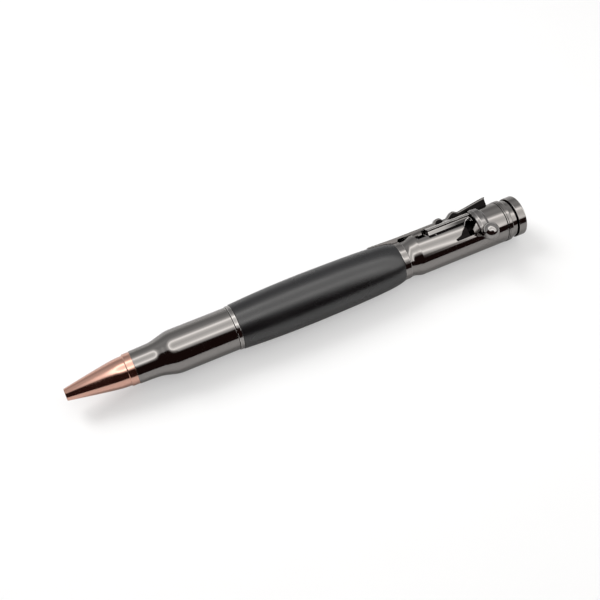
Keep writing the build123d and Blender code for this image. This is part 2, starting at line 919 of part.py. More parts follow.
pieces = {
    "bullet_tip": make_bullet_tip(),
    "front_casing": make_front_casing(),
    "thread_ring": make_thread_ring(),
    "barrel_sleeve": make_barrel_sleeve(),
    "inner_tube": make_inner_tube(),
    "rear_coupler": make_rear_coupler(),
    "receiver": make_receiver(),
    "end_cap": make_end_cap(),
    "rifle_clip": make_rifle_clip(),
    "clip_rivets": make_clip_rivets(),
    "spring_washer": make_spring_washer(),
    "bolt_spring": bolt_spring,
    "nib_spring": nib_spring,
    "bolt_head": make_bolt_head(),
    "guide_rail": make_guide_rail(),
    "bolt_sleeve": make_bolt_sleeve(),
    "handle_arm": make_handle_arm(knob_stud),
    "knob_stud": knob_stud,
    "handle_knob": make_handle_knob(knob_stud),
    "push_rod": make_push_rod(),
    "retaining_nut": make_retaining_nut(),
    "refill_tube": make_refill_tube(),
    "refill_plug": make_refill_plug(),
    "refill_point": make_refill_point(),
    "writing_ball": make_writing_ball(),
}

sides = Compound([pieces["handle_knob"], pieces["rifle_clip"], pieces["barrel_sleeve"]]).bounding_box()
set_down = Pos(-overall_length / 2, -(sides.min.Y + sides.max.Y) / 2, barrel_radius)

os.makedirs("parts", exist_ok=True)
for name, piece in pieces.items():
    export_step(set_down * piece, f"parts/{name}.step")

print("bolt spring least gap", round(least_gap(bolt_spring_path, bolt_wire, bolt_spring_turns), 3))
print("nib spring least gap", round(least_gap(nib_spring_path, nose_wire, nose_spring_turns), 3))
print("centre line stands at", [round(value, 4) for value in set_down.position])
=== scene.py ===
import math

import bmesh
import bpy
import numpy as np
from bpy.props import FloatProperty, FloatVectorProperty, IntProperty, PointerProperty
from mathutils import Matrix, Vector


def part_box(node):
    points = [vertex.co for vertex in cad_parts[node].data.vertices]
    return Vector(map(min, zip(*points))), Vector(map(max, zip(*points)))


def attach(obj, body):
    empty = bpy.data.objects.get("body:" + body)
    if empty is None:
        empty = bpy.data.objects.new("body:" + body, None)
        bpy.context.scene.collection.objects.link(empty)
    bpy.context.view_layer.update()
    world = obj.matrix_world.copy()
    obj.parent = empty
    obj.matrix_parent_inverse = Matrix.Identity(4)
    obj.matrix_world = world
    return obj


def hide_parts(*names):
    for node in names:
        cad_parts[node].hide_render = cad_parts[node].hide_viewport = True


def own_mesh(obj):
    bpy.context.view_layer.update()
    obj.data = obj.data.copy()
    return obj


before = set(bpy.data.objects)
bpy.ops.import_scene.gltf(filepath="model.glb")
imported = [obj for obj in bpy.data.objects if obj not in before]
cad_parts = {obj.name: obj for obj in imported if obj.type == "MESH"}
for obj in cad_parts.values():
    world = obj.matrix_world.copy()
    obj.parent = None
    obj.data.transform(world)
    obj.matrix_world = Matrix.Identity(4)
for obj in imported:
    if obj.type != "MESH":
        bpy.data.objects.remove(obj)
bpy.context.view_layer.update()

bl_info = {
    "name": "Cartridge Pen",
    "version": (1, 0, 0),
    "blender": (4, 5, 0),
    "location": "View3D > Sidebar > Pen",
    "description": "Dresses a bolt-action pen with fine surfaces, finishes and a studio",
    "category": "Object",
}

# The pen's own coordinates are millimetres from the nose tip and from the centre line.
# A roll is the angle about the centre line, in degrees, from straight up towards +Y.
MM = 0.001
NOSE_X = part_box("bullet_tip")[0].x
CASING_LOW, CASING_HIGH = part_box("front_casing")
AXIS_Y = (CASING_LOW.y + CASING_HIGH.y) / 2
AXIS_Z = (CASING_LOW.z + CASING_HIGH.z) / 2


def span(node):
    """Where a piece of the frame begins and ends along the pen, in millimetres."""
    low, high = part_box(node)
    return round((low.x - NOSE_X) / MM, 4), round((high.x - NOSE_X) / MM, 4)


TIP_REAR = span("bullet_tip")[1]
CASING_FRONT, CASING_REAR = span("front_casing")
BARREL_FRONT, BARREL_REAR = span("barrel_sleeve")
RECEIVER_FRONT, RECEIVER_REAR = span("receiver")
CAP_FRONT, CAP_REAR = span("end_cap")
HEAD_FRONT, HEAD_REAR = span("bolt_head")
SLEEVE_FRONT, SLEEVE_REAR = span("bolt_sleeve")
RAIL_FRONT, RAIL_REAR = span("guide_rail")
ARM_FRONT, ARM_REAR = span("handle_arm")
CLIP_TIP, CLIP_REAR = span("rifle_clip")
SPRING_FRONT, _ = span("bolt_spring")
NIB_FRONT, NIB_REAR = span("nib_spring")
RING_FRONT, RING_REAR = span("thread_ring")
POINT_FRONT, POINT_REAR = span("refill_point")
REFILL_FRONT, _ = span("refill_tube")
ARM_MIDDLE = (ARM_FRONT + ARM_REAR) / 2

# Radii of what the pieces share
TIP_THREAD = 4.0
REFILL_WAY = 3.15
RING_THREAD = 4.85
RING_BORE = 3.3
TUBE = 4.75
COUPLER_THREAD = 3.65
BORE = 5.0
BOLT = 4.92
CORE = 2.96

# The seam between casing and ring, and the rolls of clip and ball
SEAM = 0.1
CLIP_ROLL = 62.6
BALL_ROLL = -39.4

# Edges sharper than these angles stay crisp, the second where a cutter has been
CRISP = 32.0
CUT_CRISP = 28.0

# Points this close together are one point, in metres, and in millimetres on an outline
MERGE = 2e-7
OUTLINE_MERGE = 1e-5


# Points and outlines


def place(x, across, up):
    """Pen coordinates in millimetres, turned into points of the frame in metres."""
    x, across, up = np.broadcast_arrays(x, across, up)
    return np.stack([x * MM + NOSE_X, across * MM + AXIS_Y, up * MM + AXIS_Z], axis=-1)


def at_roll(x, radius, roll):
    """Points at a distance from the centre line, at a roll in degrees."""
    angle = np.radians(roll)
    return place(x, radius * np.sin(angle), radius * np.cos(angle))


def beside_roll(x, height, side, roll):
    """Points at a height above the centre line along a roll, and so far to the side of it."""
    sine, cosine = math.sin(math.radians(roll)), math.cos(math.radians(roll))
    return place(x, height * sine + side * cosine, height * cosine - side * sine)


def smooth_curve(knots, count):
    """A line through the knots: between two knots it is the cubic whose slope at each knot is
    the slope of the parabola through that knot and its two neighbours."""
    knots = np.asarray(knots, dtype=float)
    x, y = knots[:, 0], knots[:, 1]
    step = np.diff(x)
    rise = np.diff(y) / step
    slope = np.empty_like(x)
    slope[1:-1] = (rise[:-1] * step[1:] + rise[1:] * step[:-1]) / (step[:-1] + step[1:])
    slope[0] = 2 * rise[0] - slope[1]
    slope[-1] = 2 * rise[-1] - slope[-2]
    at = np.linspace(x[0], x[-1], count)
    cell = np.clip(np.searchsorted(x, at, side="right") - 1, 0, len(step) - 1)
    t = (at - x[cell]) / step[cell]
    value = (
        (2 * t**3 - 3 * t**2 + 1) * y[cell]
        + (t**3 - 2 * t**2 + t) * step[cell] * slope[cell]
        + (3 * t**2 - 2 * t**3) * y[cell + 1]
        + (t**3 - t**2) * step[cell] * slope[cell + 1]
    )
    return np.stack([at, value], axis=1)


def outline(*runs):
    """Joins runs of (place, radius, edge round) rows. Rows of two numbers are smooth, and a
    round of -1 marks a sharp corner in a recess, where painted shade darkens the plating."""
    rows = []
    for run in runs:
        run = np.asarray(run, dtype=float)
        if run.shape[1] == 2:
            run = np.column_stack([run, np.zeros(len(run))])
        rows.append(run)
    return np.concatenate(rows)


def softened(corners, steps=6):
    """Rounds a closed outline. At each corner with a round, the line leaves its side a round's
    length before the corner and joins the next side as far after it, along a parabola. One more
    point on each side holds the flats flat. Returns the points, and how much each is an edge,
    or, below zero, how much painted shade darkens it."""
    point, size = corners[:, :2], corners[:, 2]
    before, after = np.roll(point, 1, axis=0) - point, np.roll(point, -1, axis=0) - point
    reach_before = np.linalg.norm(before, axis=1)
    reach_after = np.linalg.norm(after, axis=1)
    # A round below zero marks a corner darkened with painted shade.
    recess = np.minimum(size, 0.0)[:, None]
    largest_share = 0.3
    size = np.clip(size, 0, largest_share * np.minimum(reach_before, reach_after))
    way_in = before / np.maximum(reach_before, 1e-9)[:, None]
    way_out = after / np.maximum(reach_after, 1e-9)[:, None]
    t = np.linspace(0, 1, steps)
    hold = 1.6
    share_in = np.concatenate([[hold], (1 - t) ** 2, [0.0]])
    share_out = np.concatenate([[0.0], t**2, [hold]])
    made = (
        point[:, None, :]
        + size[:, None, None] * share_in[None, :, None] * way_in[:, None, :]
        + size[:, None, None] * share_out[None, :, None] * way_out[:, None, :]
    )
    on_edge = np.concatenate([[0.0], np.ones(steps), [0.0]])
    worn = np.where(size > 0, 1.0, 0.0)[:, None] * on_edge + recess
    made, worn = made.reshape(-1, 2), worn.reshape(-1)
    apart = np.linalg.norm(made - np.roll(made, 1, axis=0), axis=1) > OUTLINE_MERGE
    return made[apart], worn[apart]


# Meshes


def grid_faces(rows, columns, wrap_rows, wrap_columns):
    """Four corners for each cell of a grid of points, joined round where it wraps."""
    row = np.arange(rows if wrap_rows else rows - 1)
    column = np.arange(columns if wrap_columns else columns - 1)
    row, column = np.meshgrid(row, column, indexing="ij")
    next_row, next_column = (row + 1) % rows, (column + 1) % columns
    faces = [
        row * columns + column,
        next_row * columns + column,
        next_row * columns + next_column,
        row * columns + next_column,
    ]
    return np.stack(faces, axis=-1).reshape(-1, 4)


def new_piece(name, points, faces, worn):
    """A mesh object at the origin, with doubles merged, faces outwards and edges marked."""
    mesh = bpy.data.meshes.new(name)
    mesh.from_pydata(points.reshape(-1, 3).tolist(), [], [list(face) for face in faces])
    # The edge attribute holds edge wear, and painted highlight and painted shade where they are
    # set.
    layer = mesh.attributes.new("edge", "FLOAT", "POINT")
    layer.data.foreach_set("value", np.ascontiguousarray(worn, dtype=np.float32).reshape(-1))
    shaped = bmesh.new()
    shaped.from_mesh(mesh)
    bmesh.ops.remove_doubles(shaped, verts=shaped.verts, dist=MERGE)
    bmesh.ops.dissolve_degenerate(shaped, edges=shaped.edges, dist=MERGE / 2)
    bmesh.ops.recalc_face_normals(shaped, faces=shaped.faces)
    shaped.to_mesh(mesh)
    shaped.free()
    finish_shading(mesh, CRISP)
    piece = bpy.data.objects.new(name, mesh)
    bpy.context.scene.collection.objects.link(piece)
    return piece


def finish_shading(mesh, crisp):
    """Smooth faces, with edges sharper than the angle in degrees kept crisp."""
    mesh.polygons.foreach_set("use_smooth", np.ones(len(mesh.polygons), dtype=bool))
    mesh.set_sharp_from_angle(angle=math.radians(crisp))
    mesh.update()


def turned(name, corners, steps=192):
    """A closed outline carried round the centre line: each point keeps its place along the pen
    and goes once round at its radius."""
    points, worn = softened(corners)
    roll = np.linspace(0, 360, steps, endpoint=False)
    surface = at_roll(points[:, :1], points[:, 1:], roll[None, :])
    faces = grid_faces(len(points), steps, True, True)
    return new_piece(name, surface, faces, np.repeat(worn, steps))


def swept(name, sections, worn=None):
    """Rings of points, one after another, joined into a closed skin. Each end is closed with a
    face fan to the middle of its ring."""
    count, around = sections.shape[:2]
    if worn is None:
        worn = np.zeros((count, around))
    first = np.repeat(sections[:1].mean(axis=1, keepdims=True), around, axis=1)
    last = np.repeat(sections[-1:].mean(axis=1, keepdims=True), around, axis=1)
    sections = np.concatenate([first, sections, last])
    worn = np.concatenate([worn[:1] * 0, worn, worn[-1:] * 0])
    return new_piece(name, sections, grid_faces(count + 2, around, False, True), worn)


def combine(piece, other, operation, crisp):
    """Joins the other mesh to the piece, or cuts it away, at a thousand times the size so that
    small features stay well clear of the rounding, and throws the other mesh away."""
    for each in (piece, other):
        each.data.transform(Matrix.Scale(1 / MM, 4))
        filled = bmesh.new()
        filled.from_mesh(each.data)
        many_sided = [face for face in filled.faces if len(face.verts) > 4]
        bmesh.ops.triangulate(filled, faces=many_sided, ngon_method="EAR_CLIP")
        filled.to_mesh(each.data)
        filled.free()
    change = piece.modifiers.new("change", "BOOLEAN")
    change.operation = operation
    change.solver = "MANIFOLD"
    change.object = other
    graph = bpy.context.evaluated_depsgraph_get()
    made = bpy.data.meshes.new_from_object(piece.evaluated_get(graph))
    piece.modifiers.clear()
    old = piece.data
    piece.data = made
    made.transform(Matrix.Scale(MM, 4))
    finish_shading(made, crisp)
    bpy.data.meshes.remove(old)
    bpy.data.objects.remove(other)


# Shader nodes and groups. Each group is built once


def fill(tree, node, sockets):
    """Gives a node's sockets, by name or number, a value or a link each."""
    for key, value in sockets.items():
        if isinstance(value, bpy.types.NodeSocket):
            tree.links.new(value, node.inputs[key])
        else:
            node.inputs[key].default_value = value
    return node


def add(tree, kind, sockets=None, **settings):
    """A new node with its settings, and values or links for its sockets."""
    made = tree.nodes.new(kind)
    for key, value in settings.items():
        setattr(made, key, value)
    return fill(tree, made, sockets or {})


def calculate(tree, operation, *values, **settings):
    """The result of a math node."""
    sockets = dict(enumerate(values))
    return add(tree, "ShaderNodeMath", sockets, operation=operation, **settings).outputs[0]


def ranged(tree, value, given, wanted, **settings):
    """A value carried from one range, low to high, to another, and held at its ends."""
    names = ("Value", "From Min", "From Max", "To Min", "To Max")
    sockets = dict(zip(names, (value, *given, *wanted)))
    return add(tree, "ShaderNodeMapRange", sockets, **settings).outputs["Result"]


def blended(tree, share, first, second):
    """A colour that goes from the first to the second with the share."""
    sockets = {"Factor": share, 6: first, 7: second}
    return add(tree, "ShaderNodeMix", sockets, data_type="RGBA").outputs[2]


def object_coordinates(tree, along, across):
    """Object coordinates scaled along the pen and across it."""
    where = add(tree, "ShaderNodeTexCoord").outputs["Object"]
    sockets = {"Vector": where, "Scale": (along, across, across)}
    return add(tree, "ShaderNodeMapping", sockets).outputs["Vector"]


def noise(tree, along, across, detail):
    """Noise with so many lumps to a metre along the pen and across it."""
    where = object_coordinates(tree, along, across)
    sockets = {"Vector": where, "Scale": 1.0, "Detail": detail}
    return add(tree, "ShaderNodeTexNoise", sockets).outputs["Fac"]


def bumped(tree, height, strength, distance):
    """The surface's direction, tilted by a height."""
    sockets = {"Strength": strength, "Distance": distance, "Height": height}
    return add(tree, "ShaderNodeBump", sockets).outputs["Normal"]


def node_group(name, inputs, outputs):
    """An empty shader group, the sockets of what it is given, and its output node. An input
    with four numbers is a colour, and so is the output called Color."""
    group = bpy.data.node_groups.new(name, "ShaderNodeTree")
    kinds = {True: "NodeSocketColor", False: "NodeSocketFloat"}
    for label, default in inputs.items():
        kind = kinds[isinstance(default, tuple)]
        socket = group.interface.new_socket(label, in_out="INPUT", socket_type=kind)
        socket.default_value = default
    for label in outputs:
        group.interface.new_socket(label, in_out="OUTPUT", socket_type=kinds[label == "Color"])
    return group, group.nodes.new("NodeGroupInput").outputs, group.nodes.new("NodeGroupOutput")


def make_wear_and_painted_light(name):
    """Plating that is thinner and brighter along edges: the edge mask, broken up by noise. The
    same mask brightens places given a painted highlight. Where the mask is below zero, in
    recesses and shaded places, painted shade darkens the plating almost to black."""
    defaults = {"Plate": (0.3, 0.3, 0.3, 1), "Worn": (0.6, 0.6, 0.6, 1), "Amount": 0.5}
    group, given, out = node_group(name, defaults, ["Color"])
    edge = add(group, "ShaderNodeAttribute", attribute_name="edge").outputs["Fac"]
    patches = noise(group, along=900.0, across=900.0, detail=3.0)
    broken = ranged(group, patches, (0.35, 0.62), (0.35, 1.0))
    mask = calculate(group, "MULTIPLY", edge, broken)
    weight = calculate(group, "MULTIPLY", mask, given["Amount"], use_clamp=True)
    worn = blended(group, weight, given["Plate"], given["Worn"])
    # Painted shade: below zero, the mask darkens the plating almost to black.
    recess = calculate(group, "MULTIPLY", edge, -0.97, use_clamp=True)
    painted_shade = (0.004, 0.0035, 0.0035, 1)
    fill(group, out, {"Color": blended(group, recess, worn, painted_shade)})
    return group


def make_polish(name):
    """Polished plating: fine lines left by the buff round the pen, and a faint orange peel."""
    defaults = {"Smooth": 0.06, "Hazy": 0.14}
    group, given, out = node_group(name, defaults, ["Roughness", "Height"])
    lines = noise(group, along=9000.0, across=260.0, detail=4.0)
    haze = noise(group, along=140.0, across=220.0, detail=2.0)
    both = calculate(group, "MULTIPLY", lines, haze)
    rough = ranged(group, both, (0.12, 0.42), (given["Smooth"], given["Hazy"]))
    height = calculate(group, "MULTIPLY_ADD", lines, 0.25, haze)
    fill(group, out, {"Roughness": rough, "Height": height})
    return group


def make_satin(name):
    """Satin lacquer: a very fine grain, with slightly shinier patches where fingers rub."""
    defaults = {"Shiny": 0.34, "Dull": 0.46}
    group, given, out = node_group(name, defaults, ["Roughness", "Height", "Tone"])
    grain = noise(group, along=5200.0, across=5200.0, detail=5.0)
    rubbed = noise(group, along=70.0, across=150.0, detail=2.0)
    rough = ranged(group, rubbed, (0.35, 0.65), (given["Shiny"], given["Dull"]))
    fill(group, out, {"Roughness": rough, "Height": grain, "Tone": grain})
    return group


def make_dust(name):
    """Sparse pale specks of dust: small dots round scattered points, kept where a slow noise
    is high."""
    group, given, out = node_group(name, {"Size": 0.09, "Strength": 0.25}, ["Mask"])
    sockets = {"Vector": object_coordinates(group, 900.0, 900.0), "Scale": 1.0}
    dots = add(group, "ShaderNodeTexVoronoi", sockets).outputs["Distance"]
    near = calculate(group, "LESS_THAN", dots, given["Size"])
    slow = noise(group, along=260.0, across=260.0, detail=1.0)
    high = calculate(group, "GREATER_THAN", slow, 0.6)
    kept = calculate(group, "MULTIPLY", near, high)
    fill(group, out, {"Mask": calculate(group, "MULTIPLY", kept, given["Strength"])})
    return group


def place_group(tree, name, make, **values):
    """A group node with its own values. The group is made the first time it is asked for."""
    group = bpy.data.node_groups.get(name) or make(name)
    return add(tree, "ShaderNodeGroup", values, node_tree=group).outputs


# Materials. Each function gives the values and links of a Principled shader


def tinted(colour, level=1.0):
    """A colour for a shader, at a level of its brightness."""
    return (*[level * part for part in colour], 1)


def plated(tree, plate, worn, smooth, hazy, wear):
    """Polished plating with buffing lines, paler metal along its edges, and the painted
    highlight and painted shade that the edge mask carries.
    """
    colours = {"Plate": tinted(plate), "Worn": tinted(worn), "Amount": wear}
    edges = place_group(tree, "plating_edge_wear", make_wear_and_painted_light, **colours)
    polish = place_group(tree, "buffed_polish", make_polish, Smooth=smooth, Hazy=hazy)
    return {
        "Base Color": edges["Color"],
        "Roughness": polish["Roughness"],
        "Normal": bumped(tree, polish["Height"], strength=0.12, distance=0.00002),
        "Metallic": 1.0,
    }


def satin_black(tree, colour):
    """Satin black lacquer on the barrel, with fine grain and a few specks of dust."""
    satin = place_group(tree, "satin_lacquer", make_satin, Shiny=0.26, Dull=0.32)
    dust = place_group(tree, "dust_specks", make_dust, Size=0.07, Strength=0.10)
    toned = blended(tree, satin["Tone"], tinted(colour, 0.75), tinted(colour, 1.25))
    dust_colour = (0.5, 0.5, 0.5, 1)
    return {
        "Base Color": blended(tree, dust["Mask"], toned, dust_colour),
        "Roughness": satin["Roughness"],
        "Normal": bumped(tree, satin["Height"], strength=0.25, distance=0.000012),
        "Specular IOR Level": 0.95,
    }


def moulded(tree, colour):
    """Moulded plastic of the refill's plug."""
    satin = place_group(tree, "satin_lacquer", make_satin, Shiny=0.25, Dull=0.4)
    toned = blended(tree, satin["Tone"], tinted(colour, 0.8), tinted(colour))
    return {"Base Color": toned, "Roughness": satin["Roughness"]}


# For each finish, by the name of its colour in the panel: the material's name and function, and
# for plating the colour of its edge wear and painted highlight, the roughness where smooth and
# hazy, and how strong that wear and highlight are.
FINISHES = {
    "copper": ("polished_copper", plated, (0.86, 0.60, 0.50), 0.10, 0.20, 0.4),
    "gunmetal": ("polished_gunmetal", plated, (0.55, 0.53, 0.51), 0.05, 0.12, 0.7),
    "bright_plate": ("light_gunmetal", plated, (0.72, 0.70, 0.68), 0.05, 0.13, 0.7),
    # The arch lip's light, rough plating is a painted highlight along the arch's edge.
    "arch_lip": ("arch_lip_plate", plated, (0.85, 0.83, 0.82), 0.3, 0.45, 0.5),
    "handle_plate": ("handle_gunmetal", plated, (0.50, 0.48, 0.46), 0.07, 0.16, 0.5),
    "clip_plate": ("clip_gunmetal", plated, (0.26, 0.25, 0.24), 0.14, 0.28, 0.8),
    "black_plate": ("black_plating", plated, (0.60, 0.58, 0.57), 0.16, 0.30, 0.9),
    "steel": ("spring_steel", plated, (0.75, 0.75, 0.75), 0.18, 0.34, 0.4),
    "brass": ("turned_brass", plated, (0.92, 0.80, 0.52), 0.16, 0.30, 0.4),
    "refill": ("refill_metal", plated, (0.75, 0.75, 0.76), 0.22, 0.38, 0.4),
    "barrel": ("satin_black_barrel", satin_black),
    "refill_plug": ("refill_plug_plastic", moulded),
}


def emptied(holder):
    """The node tree of a material or a world, without nodes."""
    holder.use_nodes = True
    holder.node_tree.nodes.clear()
    return holder.node_tree


def show(tree, shader, kind="ShaderNodeOutputMaterial"):
    """Joins a shader to a new output node."""
    add(tree, kind, {"Surface": shader.outputs[0]})


def finish_of(finish):
    """The material for one of the pen's finishes, with the colour set in the panel."""
    name, make, *values = FINISHES[finish]
    material = bpy.data.materials.get(name)
    if not material:
        material = bpy.data.materials.new(name)
        tree = emptied(material)
        sockets = make(tree, getattr(bpy.context.scene.pen_finishes, finish), *values)
        show(tree, add(tree, "ShaderNodeBsdfPrincipled", sockets))
    return material


def dress(piece, finish, body, slot, *nodes):
    """Gives a new piece its finish and body, and hides the CAD nodes that it stands for. The
    record slot is not used.
    """
    piece.data.materials.clear()
    piece.data.materials.append(finish_of(finish))
    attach(piece, body)
    if nodes:
        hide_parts(*nodes)


def dress_node(node, finish):
    """Gives a CAD node that stays its finish."""
    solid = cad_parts[node]
    material = finish_of(finish)
    if not solid.material_slots:
        solid.data.materials.append(material)
    for holder in solid.material_slots:
        holder.material = material


# Sizes and finishes that a user would change. Lengths are in millimetres


class PenSizes(bpy.types.PropertyGroup):
    tip_band: FloatProperty(
        name="Tip band radius", description="Radius of the nose tip's band, in millimetres",
        default=4.66, min=4.0, max=5.2,
    )
    casing: FloatProperty(
        name="Casing radius", description="Radius of the straight casing, in millimetres",
        default=6.33, min=5.5, max=7.0,
    )
    barrel: FloatProperty(
        name="Barrel radius", description="Largest radius of the barrel, in millimetres",
        default=7.4, min=6.0, max=8.0,
    )
    receiver: FloatProperty(
        name="Receiver radius", description="Radius of the receiver's tube, in millimetres",
        default=6.2, min=5.8, max=6.6,
    )
    knob: FloatProperty(
        name="Ball radius", description="Radius of the handle's ball, in millimetres",
        default=2.6, min=1.8, max=3.0,
    )
    coils: IntProperty(
        name="Bolt spring coils", description="Turns of the spring ahead of the bolt",
        default=4, min=3, max=6,
    )
    edge: FloatProperty(
        name="Edge round", description="Round on the machined edges, in millimetres",
        default=0.12, min=0.02, max=0.3,
    )


# What every colour in the panel has
COLOUR = {"subtype": "COLOR", "size": 3, "min": 0, "max": 1}


class PenFinishes(bpy.types.PropertyGroup):
    copper: FloatVectorProperty(
        name="Copper", description="Colour of the nose tip's copper plating",
        default=(0.80, 0.47, 0.375), **COLOUR,
    )
    gunmetal: FloatVectorProperty(
        name="Gunmetal", description="Colour of the dark plating",
        default=(0.30, 0.285, 0.275), **COLOUR,
    )
    bright_plate: FloatVectorProperty(
        name="Light gunmetal", description="Colour of the plating on the ball, rail and ring",
        default=(0.37, 0.355, 0.345), **COLOUR,
    )
    handle_plate: FloatVectorProperty(
        name="Handle", description="Colour of the plating on the handle's strap",
        default=(0.26, 0.25, 0.245), **COLOUR,
    )
    # The bead's light colour is a painted highlight.
    arch_lip: FloatVectorProperty(
        name="Arch lip", description="Colour of the bead round the arch in the rail",
        default=(0.75, 0.73, 0.72), **COLOUR,
    )
    black_plate: FloatVectorProperty(
        name="Bolt", description="Colour of the bolt's black plating",
        default=(0.009, 0.008, 0.008), **COLOUR,
    )
    clip_plate: FloatVectorProperty(
        name="Clip", description="Colour of the clip's plating",
        default=(0.13, 0.122, 0.118), **COLOUR,
    )
    barrel: FloatVectorProperty(
        name="Barrel", description="Colour of the barrel's satin lacquer",
        default=(0.0030, 0.0029, 0.0038), **COLOUR,
    )
    steel: FloatVectorProperty(
        name="Steel", description="Colour of springs, rods and pins",
        default=(0.50, 0.50, 0.51), **COLOUR,
    )
    brass: FloatVectorProperty(
        name="Brass", description="Colour of the tube, coupler and refill point",
        default=(0.80, 0.60, 0.30), **COLOUR,
    )
    refill: FloatVectorProperty(
        name="Refill", description="Colour of the refill's metal tube",
        default=(0.52, 0.52, 0.54), **COLOUR,
    )
    refill_plug: FloatVectorProperty(
        name="Refill plug", description="Colour of the refill's plastic plug",
        default=(0.02, 0.02, 0.025), **COLOUR,
    )


# Nose


class PEN_OT_bullet_tip(bpy.types.Operator):
    """Copper nose tip with its long taper, waist and band"""

    bl_idname = "pen.bullet_tip"
    bl_label = "Nose tip"

    def execute(self, context):
        size = context.scene.pen_sizes
        band, edge = size.tip_band, size.edge
        hole, spring_bore, spring_bore_rear = 1.25, 2.2, 12.9
        taper_shares = [
            (0, 0.37), (0.26, 0.57), (0.48, 0.73), (0.70, 0.877), (0.76, 0.908),
            (0.885, 0.931),
        ]
        taper = smooth_curve(np.multiply(taper_shares, [CASING_FRONT, band]), 60)
        band_front = taper[-1, 0] + 0.07
        shape = outline(
            [(0, hole, 0.06), (0, taper[0, 1], 0.28)],
            taper[2:],
            [
                (band_front, band - 0.12, 0.05),
                (band_front + 0.14, band, 0.08),
                (CASING_FRONT, band, 0.10),
                (CASING_FRONT, TIP_THREAD, 0),
                (TIP_REAR, TIP_THREAD, edge),
                (TIP_REAR, REFILL_WAY, edge),
                (spring_bore_rear, REFILL_WAY, 0),
                (spring_bore_rear, spring_bore, 0.05),
                (NIB_FRONT, spring_bore, 0),
                (NIB_FRONT, hole, 0.05),
            ],
        )
        dress(turned("nose_tip", shape), "copper", "nose", "copper_plate", "bullet_tip")
        return {"FINISHED"}


class PEN_OT_front_casing(bpy.types.Operator):
    """Dark casing with its neck, shoulder and straight body"""

    bl_idname = "pen.front_casing"
    bl_label = "Casing"

    def execute(self, context):
        size = context.scene.pen_sizes
        straight, edge = size.casing, size.edge
        drops = [
            (0.20, -1.54), (2.25, -1.49), (4.75, -1.41), (6.55, -1.23), (8.65, -0.70),
            (10.55, -0.20), (12.25, 0), (13.45, 0),
        ]
        neck = smooth_curve(np.add(drops, [CASING_FRONT, straight]), 72)
        neck[:, 1] = np.minimum(neck[:, 1], straight)
        shape = outline(
            [(CASING_FRONT, TIP_THREAD, 0), (CASING_FRONT, straight - 1.55, 0.08)],
            neck,
            [
                (CASING_REAR, straight, edge),
                (CASING_REAR, RING_THREAD + 0.05, 0.05),
                (RING_FRONT - 0.08, RING_THREAD + 0.05, 0),
                (RING_FRONT - 0.08, RING_BORE, 0.05),
                (TIP_REAR, RING_BORE, 0),
                (TIP_REAR, TIP_THREAD, 0),
            ],
        )
        piece = turned("casing", shape, steps=256)
        dress(piece, "gunmetal", "nose", "gunmetal", "front_casing")
        return {"FINISHED"}


# Barrel


class PEN_OT_thread_ring(bpy.types.Operator):
    """Bright ring between casing and barrel"""

    bl_idname = "pen.thread_ring"
    bl_label = "Ring"

    def execute(self, context):
        ring, insert = context.scene.pen_sizes.casing + 0.19, 4.4
        front = CASING_REAR + SEAM
        shape = outline(
            [
                (RING_FRONT, RING_BORE, 0.05),
                (RING_FRONT, RING_THREAD, 0.2),
                (front, RING_THREAD, 0),
                (front, ring, 0.16),
                (BARREL_FRONT, ring, 0.16),
                (BARREL_FRONT, insert, 0),
                (RING_REAR, insert, 0.2),
                (RING_REAR, RING_BORE, 0.05),
            ]
        )
        dress(turned("ring", shape), "bright_plate", "pen_body", "bright_plate", "thread_ring")
        return {"FINISHED"}


def barrel_line(radius):
    """The barrel's swelling line, through knots as shares of its length and its radius."""
    swell_shares = [
        (0.0, 0.900), (0.09, 0.939), (0.24, 0.982), (0.40, 1.0), (0.56, 0.993),
        (0.72, 0.974), (0.86, 0.934), (0.925, 0.900), (0.97, 0.853), (1.0, 0.800),
    ]
    knots = np.multiply(swell_shares, [BARREL_REAR - BARREL_FRONT, radius])
    return smooth_curve(knots + [BARREL_FRONT, 0], 120)


class PEN_OT_barrel(bpy.types.Operator):
    """Swelling satin black barrel"""

    bl_idname = "pen.barrel"
    bl_label = "Barrel"

    def execute(self, context):
        swell = barrel_line(context.scene.pen_sizes.barrel)
        shape = outline(
            [(BARREL_FRONT, TUBE, 0), (BARREL_FRONT, swell[0, 1], 0.12)],
            swell[1:-1],
            [(BARREL_REAR, swell[-1, 1], 0.15), (BARREL_REAR, TUBE, 0)],
        )
        piece = turned("barrel", shape, steps=256)
        dress(piece, "barrel", "pen_body", "black_barrel", "barrel_sleeve")
        return {"FINISHED"}


# Receiver


def ramp_line(tube):
    """The receiver's valley behind the flange, and the ramp up to its tube."""
    drops = [
        (0.12, -0.50), (0.6, -0.585), (1.2, -0.64), (1.9, -0.60), (2.6, -0.43), (3.2, -0.22),
        (3.7, -0.07), (4.2, 0.0),
    ]
    flange_rear = BARREL_REAR + 1.9
    line = smooth_curve(np.add(drops, [flange_rear, tube]), 60)
    line[:, 1] = np.minimum(line[:, 1], tube)
    return line


